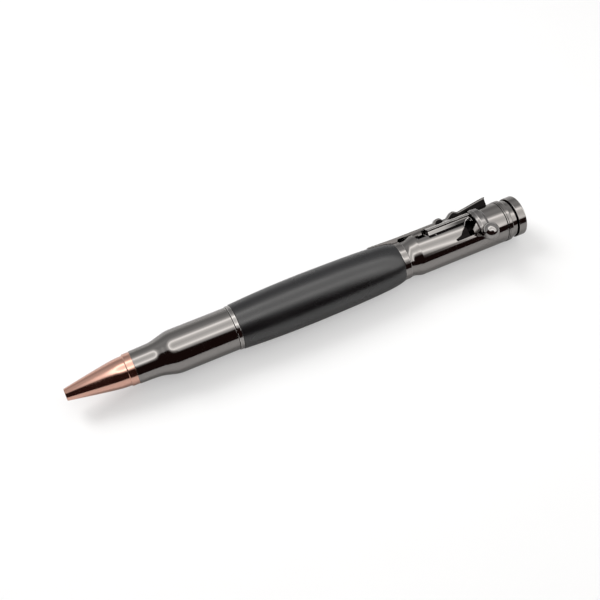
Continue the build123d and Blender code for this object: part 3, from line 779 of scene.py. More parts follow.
def port_outline():
    """Corners of the opening in the receiver as (place, roll, round), once round: the port,
    the passage for the handle's root, the hidden relief under the handle, and the notch with
    its hook."""
    port_front, port_rear = BARREL_REAR + 6.7, BARREL_REAR + 25.5
    step = port_front + 3.6
    slot_front = port_rear - 3.96
    slot_rear = slot_front + 1.92
    relief_front, relief_rear = port_rear + 0.24, port_rear + 2.16
    port_high, port_step, port_low = 51.1, 11.6, 0.6
    passage_high, passage_low, relief_low = 18.1, -6.9, -35.9
    foot = -36.6
    return np.array(
        [
            (port_front, port_high, 0.35),
            (port_rear, port_high, 0.2),
            (port_rear, passage_high, 0.1),
            (relief_rear, passage_high, 0.2),
            (relief_rear, relief_low, 0.2),
            (relief_front, relief_low, 0.2),
            (relief_front, passage_low, 0.1),
            (slot_rear + 1.95, passage_low, 0.3),
            (slot_rear, -21.9, 0.25),
            (slot_rear, foot, 0.25),
            (slot_front - 3.8, foot, 0.15),
            (slot_front - 4.1, -32.4, 0.15),
            (slot_front - 2.1, -26.5, 0.35),
            (slot_front - 1.15, -15.5, 0.5),
            (slot_front, -7.5, 0.5),
            (slot_front, port_low, 0.3),
            (step, port_low, 0.2),
            (step, port_step, 0.2),
            (port_front, port_step, 0.35),
        ]
    )


def arch_outline(radius):
    """Corners of the arch behind the guide rail, at a radius from the centre line: straight
    sides from below the notch, and half a circle on top."""
    middle, half, spring_roll, foot_roll = RAIL_REAR - 1.33, 1.42, 8.0, -60.0
    turn = np.linspace(0, math.pi, 24)
    x = middle + half * np.cos(turn)
    roll = spring_roll + np.degrees(half * np.sin(turn) / radius)
    arc = np.column_stack([x, roll, np.zeros(len(turn))])
    return np.vstack([[(x[0], foot_roll, 0.0)], arc, [(x[-1], foot_roll, 0.0)]])


def laid_cutter(name, corners, radius, floor, bevel):
    """An outline laid round the centre line at a radius, carried outwards from the floor with
    walls darkened by painted shade, and widened by the bevel where it leaves the surface, but
    not under the handle. The bevel is lighter on top, as plating wear and painted highlight,
    and darkened with painted shade below the shaded roll."""
    arc = math.radians(radius)
    shaded_roll, fade, points_around = -33.0, 2.0, 700
    line, _ = softened(corners * [1, arc, 1], 7)
    gap = np.linalg.norm(np.roll(line, -1, axis=0) - line, axis=1)
    along = np.concatenate([[0], np.cumsum(gap)])
    ring = np.vstack([line, line[:1]])
    at = np.linspace(0, along[-1], points_around, endpoint=False)
    at = np.unique(np.concatenate([at, along[:-1]]))
    line = np.stack([np.interp(at, along, ring[:, i]) for i in range(2)], axis=1)
    way = np.roll(line, -1, axis=0) - np.roll(line, 1, axis=0)
    way /= np.linalg.norm(way, axis=1)[:, None]
    turn = np.sum(line[:, 0] * np.roll(line[:, 1], -1) - line[:, 1] * np.roll(line[:, 0], -1))
    out = np.stack([way[:, 1], -way[:, 0]], axis=1) * np.sign(turn)
    over = 0.04
    radii = np.array([floor, radius - 1.4 * bevel, radius - bevel, radius + over, 2 * radius])
    wide = np.array([0, 0, 0, bevel + over, bevel + over])
    open_part = np.clip((ARM_FRONT - 0.05 - line[:, 0]) / 0.3, 0, 1)
    lit_part = np.clip((line[:, 1] / arc - shaded_roll) / fade, -1, 1)
    # Painted shade on the floor and lower walls; above them the bevel gets painted highlight,
    # or painted shade below the shaded roll.
    worn = np.vstack([np.full((2, len(line)), -1.0), np.tile(lit_part, (3, 1))])
    spread = line + out * (wide[:, None] * open_part)[..., None]
    rings = at_roll(spread[..., 0], radii[:, None], spread[..., 1] / arc)
    count, around = rings.shape[:2]
    faces = grid_faces(count, around, False, True).tolist()
    faces.append(list(range(around)))
    faces.append(list(range((count - 1) * around, count * around)))
    return new_piece(name, rings, faces, worn)


class PEN_OT_receiver(bpy.types.Operator):
    """Receiver with its flange, valley, ramp, port and hooked notch"""

    bl_idname = "pen.receiver"
    bl_label = "Receiver"

    def execute(self, context):
        size = context.scene.pen_sizes
        tube, edge = size.receiver, size.edge
        ramp = ramp_line(tube)
        flange, bore_front = tube - 0.42, BARREL_REAR + 2.2
        shape = outline(
            [
                (RECEIVER_FRONT, REFILL_WAY, 0),
                (RECEIVER_FRONT, COUPLER_THREAD, 0.15),
                (BARREL_REAR, COUPLER_THREAD, 0),
                (BARREL_REAR, flange, 0.14),
                (ramp[0, 0] - 0.12, flange, 0.05),
            ],
            ramp,
            [
                (RECEIVER_REAR, tube, edge),
                (RECEIVER_REAR, BORE, 0),
                (bore_front, BORE, 0),
                (bore_front, REFILL_WAY, 0.05),
            ],
        )
        piece = turned("receiver_shell", shape, steps=360)
        cutter = laid_cutter("port", port_outline(), tube, floor=tube - 2.6, bevel=0.13)
        combine(piece, cutter, "DIFFERENCE", CUT_CRISP)
        dress(piece, "gunmetal", "pen_body", "gunmetal", "receiver")
        return {"FINISHED"}


class PEN_OT_end_cap(bpy.types.Operator):
    """Cap turned like a cartridge head, with seam, sloping groove and rim"""

    bl_idname = "pen.end_cap"
    bl_label = "End cap"

    def execute(self, context):
        head = context.scene.pen_sizes.receiver + 0.1
        rim_radius, rim_floor, dish, dish_depth = head - 0.18, head - 0.9, 1.6, 0.12
        seam, line, groove, rim = [RECEIVER_REAR + step for step in (0.18, 0.55, 1.65, 3.95)]
        # Rounds of -1 mark corners darkened with painted shade: the seam, the line, the groove
        # and the step before the rim.
        shape = outline(
            [
                (CAP_FRONT, 0, 0),
                (CAP_FRONT, BORE, 0.2),
                (RECEIVER_REAR, BORE, 0),
                (RECEIVER_REAR, head - 0.12, -1),
                (seam, head - 0.12, -1),
                (seam, head, 0.08),
                (line, head, 0.05),
                (line, head - 0.08, -1),
                (line + 0.16, head - 0.08, -1),
                (line + 0.16, head, 0.05),
                (groove, head, 0.05),
                (groove + 0.06, head - 0.08, -1),
                (groove + 0.2, head - 0.3, -1),
                (groove + 0.35, head - 0.45, 0.1),
                (rim - 0.55, head - 0.58, 0.05),
                (rim - 0.5, rim_floor, -1),
                (rim, rim_floor, -1),
                (rim, head - 0.5, -1),
                (rim, rim_radius, 0.16),
                (CAP_REAR, rim_radius, 0.25),
                (CAP_REAR, dish, 0.1),
                (CAP_REAR - dish_depth, dish - 0.2, 0.1),
                (CAP_REAR - dish_depth, 0, 0),
            ]
        )
        piece = turned("cap", shape, steps=256)
        dress(piece, "gunmetal", "pen_body", "gunmetal", "end_cap")
        return {"FINISHED"}


# Bolt


class PEN_OT_bolt(bpy.types.Operator):
    """Bolt head, turning sleeve, guide rail and the spring ahead of them"""

    bl_idname = "pen.bolt"
    bl_label = "Bolt, rail and spring"

    def execute(self, context):
        size = context.scene.pen_sizes
        head_rear, sleeve_bore, radius = HEAD_FRONT + 2.7, CORE + 0.08, BOLT - 0.04
        head = outline(
            [
                (HEAD_FRONT, 0, 0),
                (HEAD_FRONT, BOLT, 0.3),
                (head_rear, BOLT, 0.12),
                (head_rear, CORE, 0),
                (HEAD_REAR, CORE, 0.2),
                (HEAD_REAR, 0, 0),
            ]
        )
        dress(turned("bolt_front", head), "black_plate", "bolt", "blackened", "bolt_head")
        sleeve = outline(
            [
                (SLEEVE_FRONT, sleeve_bore, 0),
                (SLEEVE_FRONT, radius, 0.15),
                (SLEEVE_REAR, radius, 0.15),
                (SLEEVE_REAR, sleeve_bore, 0),
            ]
        )
        piece = turned("sleeve", sleeve)
        cutter = laid_cutter("recess", arch_outline(radius), radius, floor=3.9, bevel=0.2)
        combine(piece, cutter, "DIFFERENCE", CUT_CRISP)
        dress(piece, "black_plate", "handle", "blackened", "bolt_sleeve")
        rail = guide_rail(size.receiver + 0.3)
        dress(rail, "bright_plate", "bolt", "bright_plate", "guide_rail")
        dress(arch_lip(wire=0.13), "arch_lip", "bolt", "bright_plate")
        coil, wire = 4.55, 0.25
        spring = wound_wire("port_spring", SPRING_FRONT, HEAD_FRONT, coil, wire, size.coils)
        dress(spring, "steel", "pen_body", "steel", "bolt_spring")
        press(spring, SPRING_FRONT)
        return {"FINISHED"}


def guide_rail(top):
    """A bar along the port: its cross-section, a sloping ledge below a grooved top, is carried
    along the pen, and shrinks a little at both ends to round them. The arch is cut from it.
    The ledge is flat: at each roll its radius is the lowest one over the cosine of the angle
    from the middle of the flat. Painted shade darkens the ledge, a little at its front and most
    towards its rear, where the handle shades it."""
    low_roll, step_roll, high_roll, tilt = 19.6, 26.8, 49.6, 29.0
    groove_roll, groove_half, groove_slope = 36.0, 0.8, 0.6
    under, groove, middle_radius, arch_radius = BOLT + 0.1, top - 0.12, 5.8, 5.4
    arc = math.radians(top)
    turn = np.linspace(low_roll, step_roll, 5)
    ledge = under * math.cos(math.radians(low_roll + tilt)) / np.cos(np.radians(turn + tilt))
    section = np.array(
        [
            (low_roll, under, 0.05),
            *np.column_stack([turn, ledge, np.zeros(len(turn))])[1:],
            (step_roll, top, 0.09),
            (groove_roll - groove_half - groove_slope, top, 0.04),
            (groove_roll - groove_half, groove, 0.03),
            (groove_roll + groove_half, groove, 0.03),
            (groove_roll + groove_half + groove_slope, top, 0.04),
            (high_roll, top, 0.12),
            (high_roll, under, 0.03),
        ]
    )
    line, worn = softened(section * [arc, 1, 1], 5)
    middle = np.array([(low_roll + high_roll) / 2 * arc, middle_radius])
    ends, depth = np.array([0.0, 0.03, 0.10, 0.2]), 0.85
    straight = np.linspace(RAIL_FRONT + 0.5, RAIL_REAR - 0.5, 40)
    x = np.concatenate([RAIL_FRONT + ends, straight, RAIL_REAR - ends[::-1]])
    round_in = depth * (ends[-1] - np.sqrt(ends * (2 * ends[-1] - ends)))
    inset = np.concatenate([round_in, np.zeros_like(straight), round_in[::-1]])
    way = line - middle
    way /= np.linalg.norm(way, axis=1)[:, None]
    rings = line - way * inset[:, None, None]
    points = at_roll(x[:, None], rings[..., 1], rings[..., 0] / arc)
    low, high = low_roll * arc + 0.02, step_roll * arc - 0.05
    on_ledge = (line[:, 0] > low) & (line[:, 0] < high)
    # Painted shade on the ledge, deepening towards the rear.
    darkest, shade_front, shade_length = -0.9, RAIL_REAR - 11.0, 6.5
    shade = darkest * np.clip((x - shade_front) / shade_length, 0.3, 1)
    piece = swept("rail", points, np.where(on_ledge, shade[:, None], worn))
    cutter = laid_cutter("arch", arch_outline(arch_radius), top, floor=4.4, bevel=0.16)
    combine(piece, cutter, "DIFFERENCE", CRISP)
    return piece


def press(spring, front):
    """Gives the spring a mesh of its own; the place of its front end is found but not used."""
    anchor = place(front, 0, 0).tolist()
    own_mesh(spring)


def arch_lip(wire):
    """A thin bead round the arch, whose light colour is a painted highlight: two legs that rise
    over the sleeve, drawn together at the top against the rail's ledge. A knot is a place, a
    roll and a height over the sleeve."""
    rear, low = RAIL_REAR + 0.02, BOLT + 0.1
    knots = [
        (-3.20, 1.6, 0), (-3.05, 5.5, 0), (-2.74, 11.3, 0), (-2.04, 19.7, 0.13),
        (-1.51, 22.1, 0.38), (-0.95, 23.4, 0.53), (-0.45, 23.2, 0.53), (-0.16, 21.0, 0.26),
        (-0.06, 17.1, 0), (-0.02, 12.0, 0),
    ]
    x, roll, rise = [smooth_curve(list(enumerate(each)), 120)[:, 1] for each in zip(*knots)]
    return round_wire("arch_lip", rear + x, low + rise, roll, wire)


def round_wire(name, x, radius, roll, wire):
    """A round wire along a line of places, radii and rolls: each of its rings stands square to
    the line, and starts on the side away from the pen."""
    middle = at_roll(x, radius, roll)
    way = np.gradient(middle, axis=0)
    way /= np.linalg.norm(way, axis=1)[:, None]
    away = at_roll(x, radius + 1, roll) - middle
    away -= way * np.sum(away * way, axis=1)[:, None]
    away /= np.linalg.norm(away, axis=1)[:, None]
    side = np.cross(way, away)
    turn = np.linspace(0, 2 * math.pi, 14, endpoint=False)[None, :, None]
    rings = away[:, None] * np.cos(turn) + side[:, None] * np.sin(turn)
    return swept(name, middle[:, None] + wire * MM * rings)


def wound_wire(name, start, end, radius, wire, turns):
    """A wire wound about the centre line: its middle goes round at a steady climb, and near
    each end it bends along a parabola into a short straight foot."""
    foot, rise, steps_a_turn = 2 * wire, 4 * wire, 48
    lead = math.degrees(rise / radius)
    ease = np.linspace(0, 1, 14)
    x_in = start + foot + rise * (1 - (1 - ease) ** 2)
    roll_in = -lead * (1 - ease**2)
    steady = np.linspace(0, 360 * turns, steps_a_turn * turns)[1:]
    climb = (end - start - 2 * (foot + rise)) / (360 * turns)
    last = steady[-1]
    roll = np.concatenate([[-lead], roll_in, steady, last - roll_in[-2::-1], [last + lead]])
    climbing = start + foot + rise + climb * steady
    x = np.concatenate([[start], x_in, climbing, start + end - x_in[-2::-1], [end]])
    return round_wire(name, x, radius, roll, wire)


# Handle


class PEN_OT_handle(bpy.types.Operator):
    """Handle: the crowned strap over the receiver and the ball on its end"""

    bl_idname = "pen.handle"
    bl_label = "Bolt handle"

    def execute(self, context):
        size = context.scene.pen_sizes
        inner, ball_height = size.receiver + 0.14, size.receiver + 3.0
        dress(handle_strap(inner), "handle_plate", "handle", "bright_plate", "handle_arm")
        ball = handle_ball(size.knob, ball_height, seat=inner + 0.83)
        dress(ball, "bright_plate", "handle", "bright_plate", "handle_knob", "knob_stud")
        return {"FINISHED"}


def handle_strap(inner):
    """The strap's cross-section, crowned on top, goes round the receiver from the rail to the
    ball. It draws in at both ends by a parabola, less at the ball, and gets lower towards the
    rail. Its root goes down to the sleeve."""
    crown, shoulder, crown_half = inner + 0.84, inner + 0.42, 0.75
    section = np.array(
        [
            (ARM_FRONT, inner, 0.06),
            (ARM_FRONT, shoulder, 0.12),
            (ARM_MIDDLE - crown_half, crown, 0.12),
            (ARM_MIDDLE + crown_half, crown, 0.12),
            (ARM_REAR, shoulder, 0.12),
            (ARM_REAR, inner, 0.06),
        ]
    )
    line, worn = softened(section, 7)
    middle = np.array([ARM_MIDDLE, inner + 0.4])
    low_roll, high_roll, straight = -37.4, 44.6, np.linspace(-34.0, 41.0, 90)
    ends = np.array([0.0, 0.12, 0.4, 0.9, 1.6, 2.4])
    near = 1 - ends / ends[-1]
    roll = np.concatenate([low_roll + ends, straight, high_roll - ends[::-1]])
    deepest, ball_share = 0.35, 0.25
    narrow = deepest * np.concatenate([ball_share * near, 0 * straight, near[::-1]]) ** 2
    height = np.interp(roll, [22, 44], [1.0, 0.7])
    rings = middle + (line - middle) * (1 - narrow)[:, None, None]
    rings[..., 1] = inner + (rings[..., 1] - inner) * height[:, None]
    points = at_roll(rings[..., 0], rings[..., 1], roll[:, None])
    strap = swept("strap", points, np.tile(worn, (len(roll), 1)))
    root_front, root_rear, root_low, root_high = ARM_FRONT + 0.4, ARM_FRONT + 2.0, -5.4, 16.6
    root = np.array(
        [
            (root_front, root_low, 0.2),
            (root_rear, root_low, 0.2),
            (root_rear, root_high, 0.2),
            (root_front, root_high, 0.2),
        ]
    )
    arc = math.radians(inner)
    ring, _ = softened(root * [1, arc, 1], 5)
    radii = np.linspace(4.4, inner + 0.3, 4)
    foot = swept("root", at_roll(ring[:, 0], radii[:, None], ring[:, 1] / arc))
    combine(strap, foot, "UNION", CRISP)
    return strap


def handle_ball(radius, centre, seat):
    """A ball on its own line away from the pen: circles whose radius is the ball's at each
    height, ended where the ball sits on the strap."""
    low = math.acos(-(centre - seat) / radius)
    tilt = np.linspace(0, low, 90)
    height = centre + radius * np.cos(tilt)
    across = radius * np.sin(tilt)
    turn = np.linspace(0, 2 * math.pi, 128, endpoint=False)
    x = ARM_MIDDLE + across[:, None] * np.cos(turn)
    side = across[:, None] * np.sin(turn)
    return swept("ball", beside_roll(x, height[:, None], side, BALL_ROLL))


# Clip

# Where the clip's blade ends, and the middle and half length of the rifle's magazine
BLADE_REAR = BARREL_REAR + 2.0
MAGAZINE = RECEIVER_REAR - 18.05
MAGAZINE_REACH = 1.3


class PEN_OT_clip(bpy.types.Operator):
    """Pocket clip with the outline of a rifle"""

    bl_idname = "pen.clip"
    bl_label = "Clip"

    def execute(self, context):
        size = context.scene.pen_sizes
        piece = rifle_clip(size.receiver, size.barrel)
        dress(piece, "clip_plate", "clip", "gunmetal", "rifle_clip")
        return {"FINISHED"}


def clip_top(x, tube):
    """The clip's upper outline: the blade, the magazine's round bump, the guard and the stock.
    The last two are smooth lines through knots, counted from the receiver's rear end and
    radius."""
    flat, rise = tube + 0.67, 0.89
    tip_knots = [(CLIP_TIP, tube + 0.97), (CLIP_TIP + 3.3, tube + 0.845), (BLADE_REAR, flat)]
    guard = [
        (-15.3, 0.54), (-14.7, 0.92), (-14.1, 1.32), (-13.5, 1.70), (-13.0, 1.87),
        (-12.5, 1.83), (-11.9, 1.51), (-11.4, 1.30), (-11.0, 1.25),
    ]
    stock = [
        (-11.0, 1.25), (-9.5, 1.47), (-7.5, 1.74), (-5.5, 2.04), (-3.5, 2.30), (-1.6, 2.48),
    ]
    flat_rear, butt = [(MAGAZINE + MAGAZINE_REACH, flat)], [(CLIP_REAR, tube + 2.46)]
    blade = smooth_curve(tip_knots, 60)
    guard = smooth_curve(np.add(guard, [RECEIVER_REAR, tube]), 60)
    stock = smooth_curve(np.add(stock, [RECEIVER_REAR, tube]), 60)
    line = np.vstack([blade, flat_rear, guard, stock[1:], butt])
    top = np.interp(x, line[:, 0], line[:, 1])
    circle = (MAGAZINE_REACH**2 + rise**2) / (2 * rise)
    from_middle = np.abs(x - MAGAZINE)
    bump = np.sqrt(np.maximum(circle**2 - from_middle**2, 0)) - (circle - rise)
    return np.where(from_middle < MAGAZINE_REACH, flat + np.maximum(bump, 0), top)


def clip_underside(x, tube, barrel, half):
    """The clip's lower outlines on its near side, in its middle and on its far side. They
    follow the barrel and the receiver, and the near one comes down over the flange."""
    seated = tube - 0.05
    swell, ramp = barrel_line(barrel), ramp_line(tube)
    below = np.vstack([swell, [(BARREL_REAR + 0.1, ramp[0, 1] + 0.08)], ramp])
    below = np.interp(x, below[:, 0], below[:, 1])
    knots = [(CLIP_TIP, 0.77), (CLIP_TIP + 3.3, 0.475), (BLADE_REAR, 0.105)]
    under = smooth_curve(np.add(knots, [0, tube]), 60)
    under = np.vstack([under, [(BLADE_REAR + 4.7, seated), (CLIP_REAR, seated)]])
    near = np.interp(x, under[:, 0], under[:, 1])
    middle = np.where(x > BARREL_REAR, below + 0.06, np.minimum(near, below + 0.1))
    far = np.minimum(near, np.sqrt(below**2 - half**2) + 0.05)
    over_flange = np.clip((BARREL_REAR + 2.4 - x) / 0.4, 0, 1)
    return near + (far - near) * over_flange, middle, far


def rifle_clip(tube, barrel):
    """Each cross-section is a bar between the clip's outlines, rounded above. Behind the blade
    its sides lean inwards towards the pen, and painted shade darkens them; the butt is hollow.
    Painted shade also darkens the clip's underside behind the flange."""
    half, tip_round, stock_round, lean, hold = 1.2, 0.2, 0.28, 0.13, 0.93
    butt_length, hollow_middle, hollow_foot = 1.2, 0.42, 0.4
    x = np.unique(
        np.concatenate(
            [
                np.linspace(CLIP_TIP, CLIP_REAR, 420),
                MAGAZINE - MAGAZINE_REACH * np.cos(np.linspace(0, math.pi, 50)),
                np.linspace(MAGAZINE + 2.4, MAGAZINE + 7.4, 90),
                CLIP_REAR - 0.2 + 0.2 * np.sin(np.linspace(0, math.pi / 2, 8)),
            ]
        )
    )
    top = clip_top(x, tube)
    near_low, middle_low, far_low = clip_underside(x, tube, barrel, half)
    behind = np.clip((x - MAGAZINE + MAGAZINE_REACH + 0.2) / 0.4, 0, 1)
    thick = top - near_low
    edge_round = np.minimum(tip_round + stock_round * behind, 0.7 * thick)
    corner = np.linspace(0, math.pi / 2, 7)
    near = -half + edge_round[:, None] * (1 - np.cos(corner))
    high = top[:, None] - edge_round[:, None] * (1 - np.sin(corner))
    foot = -half + lean * behind * (thick - edge_round)
    side = foot + (near[:, 0] - foot) * hold
    side_high = near_low + (high[:, 0] - near_low) * hold
    middle = np.zeros_like(x)
    across = np.column_stack([foot, side, near, -near[:, ::-1], -side, -foot, middle])
    height = np.column_stack(
        [near_low, side_high, high, high[:, ::-1], side_high, far_low, middle_low]
    )
    share = np.clip((height - near_low[:, None]) / thick[:, None], 0, 1)
    butt = np.clip((x - CLIP_REAR + butt_length) / butt_length, 0, 1)[:, None] ** 2
    hollow = (4 * hollow_middle * share + hollow_foot) * (1 - share) * butt
    points = beside_roll(x[:, None] - hollow, height, across, CLIP_ROLL)
    # Painted shade darkens the sides behind the blade and the underside behind the flange; the
    # rounded top carries edge wear.
    dark = -behind[:, None]
    under_dark = -0.9 * np.clip(x - BARREL_REAR - 1.8, 0, 1)[:, None]
    bright = np.ones((len(x), 2 * len(corner)))
    worn = np.hstack([dark, dark, bright, dark, under_dark, under_dark])
    return swept("clip_rifle", points, worn)


# Small parts inside


class PEN_OT_small_parts(bpy.types.Operator):
    """Nose spring, refill point and ball, and finishes for the parts that keep their shapes"""

    bl_idname = "pen.small_parts"
    bl_label = "Inner parts"

    def execute(self, context):
        finishes = {
            "inner_tube": "brass",
            "rear_coupler": "brass",
            "clip_rivets": "steel",
            "spring_washer": "steel",
            "push_rod": "steel",
            "retaining_nut": "steel",
            "refill_tube": "refill",
            "refill_plug": "refill_plug",
        }
        for node, finish in finishes.items():
            dress_node(node, finish)
        coil, wire, turns = 1.85, 0.175, 7
        nib = wound_wire("nose_spring", NIB_FRONT, NIB_REAR, coil, wire, turns)
        dress(nib, "steel", "nose_carrier", "steel", "nib_spring")
        press(nib, NIB_FRONT)
        lip, point_radius, spigot, cone_rear = 0.55, 1.15, 1.25, POINT_FRONT + 2.4
        point = outline(
            [
                (POINT_FRONT, 0, 0),
                (POINT_FRONT, lip, 0.05),
                (cone_rear, point_radius, 0.2),
                (REFILL_FRONT, point_radius, 0),
                (REFILL_FRONT, spigot, 0),
                (POINT_REAR, spigot, 0),
                (POINT_REAR, 0, 0),
            ]
        )
        piece = turned("pen_point", point, steps=96)
        dress(piece, "brass", "bolt", "brass", "refill_point")
        ball_middle, ball_radius = POINT_FRONT + 0.05, 0.5
        tilt = np.linspace(0, math.pi, 40)
        across, along = ball_radius * np.sin(tilt), ball_middle - ball_radius * np.cos(tilt)
        ball = turned("ball_point", outline(np.column_stack([along, across])), steps=64)
        dress(ball, "steel", "bolt", "steel", "writing_ball")
        return {"FINISHED"}


# Stage

STUDIO_LIGHT = 2.05


def colour_bands(tree, value, bands, tint=(1.0, 1.0, 1.0)):
    """Colours that run from one (value, level) row to the next."""
    low, high = bands[0][0], bands[-1][0]
    share = ranged(tree, value, (low, high), (0.0, 1.0))
    ramp = add(tree, "ShaderNodeValToRGB", {0: share})
    stops = ramp.color_ramp.elements
    for at, level in bands[1:-1]:
        stops.new((at - low) / (high - low)).color = tinted(tint, level)
    stops[0].color = tinted(tint, bands[0][1])
    stops[len(stops) - 1].color = tinted(tint, bands[-1][1])
    return ramp.outputs["Color"]


def place_and_roll(tree, coordinates):
    """The place along the pen of a point or a direction, and its roll in degrees."""
    where = add(tree, "ShaderNodeTexCoord").outputs[coordinates]
    parts = add(tree, "ShaderNodeSeparateXYZ", {0: where}).outputs
    radians = calculate(tree, "ARCTAN2", parts["Y"], parts["Z"])
    return parts["X"], calculate(tree, "DEGREES", radians)


def mixed(tree, share, first, second):
    """A shader that goes from the first to the second with the share."""
    sockets = {0: share, 1: first.outputs[0], 2: second.outputs[0]}
    return add(tree, "ShaderNodeMixShader", sockets)


def rectangle(name, low, high, height, material):
    """A level rectangle between two corners, in metres."""
    (low_x, low_y), (high_x, high_y) = low, high
    corners = [(low_x, low_y), (high_x, low_y), (high_x, high_y), (low_x, high_y)]
    mesh = bpy.data.meshes.new(name)
    mesh.from_pydata([(x, y, height) for x, y in corners], [], [(0, 1, 2, 3)])
    mesh.materials.append(material)
    made = bpy.data.objects.new(name, mesh)
    bpy.context.scene.collection.objects.link(made)
    return made


def studio_world(world):
    """White for the camera. For light and reflections, a studio by direction: a grey room, and
    a dark one on the near side, whose border climbs towards the nose's end."""
    tree = emptied(world)
    along, roll = place_and_roll(tree, "Generated")
    climb, border_roll = -50.0, -32.0
    border = calculate(tree, "MULTIPLY_ADD", along, climb, border_roll)
    past_border = calculate(tree, "SUBTRACT", roll, border)
    lit = ranged(tree, past_border, (-2.0, 4.0), (0.0, 1.0))
    bands = [
        (-180, 0.31), (-88, 0.31), (-84, 0.22), (0, 0.22), (45, 0.25), (58, 0.19), (73, 0.16),
        (88, 0.31), (180, 0.31),
    ]
    near_side = (0.010, 0.0046, 0.004, 1)
    behind = blended(tree, lit, near_side, colour_bands(tree, roll, bands))
    light = add(tree, "ShaderNodeBackground", {"Color": behind, "Strength": STUDIO_LIGHT})
    white = add(tree, "ShaderNodeBackground", {"Color": (1, 1, 1, 1), "Strength": 1.0})
    seen = add(tree, "ShaderNodeLightPath").outputs["Is Camera Ray"]
    show(tree, mixed(tree, seen, light, white), "ShaderNodeOutputWorld")


def soft_box(height):
    """A long light overhead, brightest along its rims and round at the nose's end. Past the
    cap's end it swings towards the near side. Its edges fade to clear, and the camera doesn't
    see it."""
    material = bpy.data.materials.new("soft_box_light")
    tree = emptied(material)
    along, roll = place_and_roll(tree, "Object")
    bend_x, bend_rate = 0.09, 224.0
    past_bend = calculate(tree, "MAXIMUM", calculate(tree, "SUBTRACT", along, bend_x), 0.0)
    roll = calculate(tree, "MULTIPLY_ADD", past_bend, bend_rate, roll)
    middle_roll, half_roll, end_x, end_reach = 1.5, 20.5, -0.064, 0.052
    aside = calculate(tree, "SUBTRACT", roll, middle_roll)
    aside = calculate(tree, "DIVIDE", aside, half_roll)
    short = calculate(tree, "MAXIMUM", calculate(tree, "SUBTRACT", end_x, along), 0.0)
    short = calculate(tree, "DIVIDE", short, end_reach)
    square = calculate(tree, "MULTIPLY", short, short)
    both = calculate(tree, "MULTIPLY_ADD", aside, aside, square)
    from_middle = calculate(tree, "SQRT", both)
    bands = [
        (0.0, 0.34), (0.5, 0.46), (0.8, 0.74), (0.92, 0.96), (1.02, 1.0), (1.15, 0.78),
        (1.3, 0.44), (1.6, 0.17), (2.0, 0.0),
    ]
    warm = (1.0, 0.985, 0.965)
    colour = colour_bands(tree, from_middle, bands, warm)
    light = add(tree, "ShaderNodeEmission", {"Color": colour, "Strength": STUDIO_LIGHT})
    clear = add(tree, "ShaderNodeBsdfTransparent")
    show(tree, add(tree, "ShaderNodeAddShader", {0: light.outputs[0], 1: clear.outputs[0]}))
    box = rectangle("soft_box", (-0.75, -0.42), (1.6, 0.42), height, material)
    box.visible_camera = False


def floor_material():
    """A white sheet. The camera sees it lifted towards white, with the pen's shadow kept, and
    plain white away from the pen."""
    material = bpy.data.materials.new("white_sheet")
    tree = emptied(material)
    fibre = add(tree, "ShaderNodeTexNoise", {"Scale": 400.0, "Detail": 3.0}).outputs["Fac"]
    paper = ranged(tree, fibre, (0.0, 1.0), (0.79, 0.81))
    sheet = add(tree, "ShaderNodeBsdfDiffuse", {"Color": paper})
    unlit = add(tree, "ShaderNodeBsdfDiffuse", {"Color": (0, 0, 0, 1)})
    glow = add(tree, "ShaderNodeEmission", {"Color": (1, 1, 1, 1), "Strength": 1.0})
    where = add(tree, "ShaderNodeTexCoord").outputs["Object"]
    away = add(tree, "ShaderNodeVectorMath", {0: where}, operation="LENGTH").outputs["Value"]
    lift = ranged(tree, away, (0.1, 0.4), (0.42, 1.0), interpolation_type="SMOOTHSTEP")
    ray = add(tree, "ShaderNodeLightPath").outputs
    lifted = calculate(tree, "MULTIPLY", ray["Is Camera Ray"], lift)
    dimmed = calculate(tree, "MULTIPLY", ray["Is Glossy Ray"], 0.33)
    show(tree, mixed(tree, lifted, mixed(tree, dimmed, sheet, unlit), glow))
    return material


def lamp(name, position, target, size, power):
    """A soft lamp that looks at a point and shows in no reflection."""
    data = bpy.data.lights.new(name, "AREA")
    data.shape = "RECTANGLE"
    data.size, data.size_y = size
    data.energy = power
    made = bpy.data.objects.new(name, data)
    made.visible_glossy = False
    made.location = position
    way = Vector(target) - Vector(position)
    made.rotation_euler = way.to_track_quat("-Z", "Y").to_euler()
    bpy.context.scene.collection.objects.link(made)


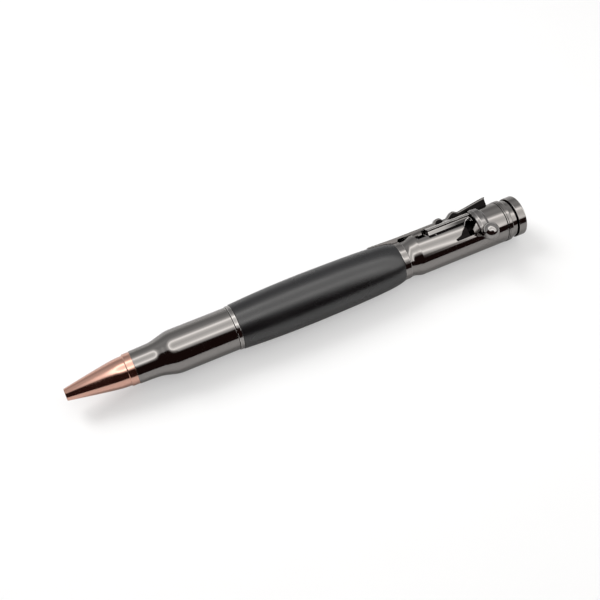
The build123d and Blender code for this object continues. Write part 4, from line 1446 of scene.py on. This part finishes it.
def photo_camera():
    """A 57 mm lens that looks down on the pen from its near side, the cap further away."""
    data = bpy.data.cameras.new("camera")
    data.lens, data.sensor_width = 57.0, 36.0
    data.clip_start, data.clip_end = 0.01, 10.0
    camera = bpy.data.objects.new("camera", data)
    right = Vector((0.9049, -0.4256, 0.0)).normalized()
    ahead = Vector((0.2249, 0.4782, -0.8490)).normalized()
    up = right.cross(ahead).normalized()
    aim = Vector((NOSE_X + 0.0704, AXIS_Y, AXIS_Z))
    distance, shift_left, shift_up = 0.2734, 0.000127, 0.000311
    position = aim - ahead * distance - right * shift_left + up * shift_up
    turn = Matrix((right, up, -ahead)).transposed().to_4x4()
    camera.matrix_world = Matrix.Translation(position) @ turn
    bpy.context.scene.collection.objects.link(camera)
    bpy.context.scene.camera = camera


class PEN_OT_stage(bpy.types.Operator):
    """White sheet, studio light and the camera"""

    bl_idname = "pen.stage"
    bl_label = "Stage"

    def execute(self, context):
        scene = context.scene
        scene.view_settings.view_transform = "Standard"
        scene.world = bpy.data.worlds.new("studio")
        studio_world(scene.world)
        half = 3.0
        sheet = rectangle("sheet", (-half, -half), (half, half), 0.0, floor_material())
        soft_box(height=0.25)
        behind = (-0.30, 0.45, 0.55)
        lamp("key", behind, target=(0.0, 0.0, 0.0), size=(0.35, 0.35), power=5.0)
        photo_camera()
        return {"FINISHED"}


# Panel


OPERATORS = (
    PEN_OT_bullet_tip,
    PEN_OT_front_casing,
    PEN_OT_thread_ring,
    PEN_OT_barrel,
    PEN_OT_receiver,
    PEN_OT_end_cap,
    PEN_OT_bolt,
    PEN_OT_handle,
    PEN_OT_clip,
    PEN_OT_small_parts,
    PEN_OT_stage,
)


class PEN_PT_panel(bpy.types.Panel):
    """Pieces, sizes and finishes of the pen"""

    bl_idname = "PEN_PT_panel"
    bl_label = "Cartridge pen"
    bl_space_type = "VIEW_3D"
    bl_region_type = "UI"
    bl_category = "Pen"

    def draw(self, context):
        layout = self.layout
        for group in (context.scene.pen_sizes, context.scene.pen_finishes):
            box = layout.box()
            for name in group.__annotations__:
                box.prop(group, name)
        for operator in OPERATORS:
            layout.operator(operator.bl_idname)


CLASSES = (PenSizes, PenFinishes, *OPERATORS, PEN_PT_panel)


def register():
    for each in CLASSES:
        bpy.utils.register_class(each)
    bpy.types.Scene.pen_sizes = PointerProperty(type=PenSizes)
    bpy.types.Scene.pen_finishes = PointerProperty(type=PenFinishes)


def unregister():
    del bpy.types.Scene.pen_finishes
    del bpy.types.Scene.pen_sizes
    for each in reversed(CLASSES):
        bpy.utils.unregister_class(each)


def main():
    register()
    for operator in OPERATORS:
        _, name = operator.bl_idname.split(".")
        getattr(bpy.ops.pen, name)()


if __name__ == "__main__":
    main()
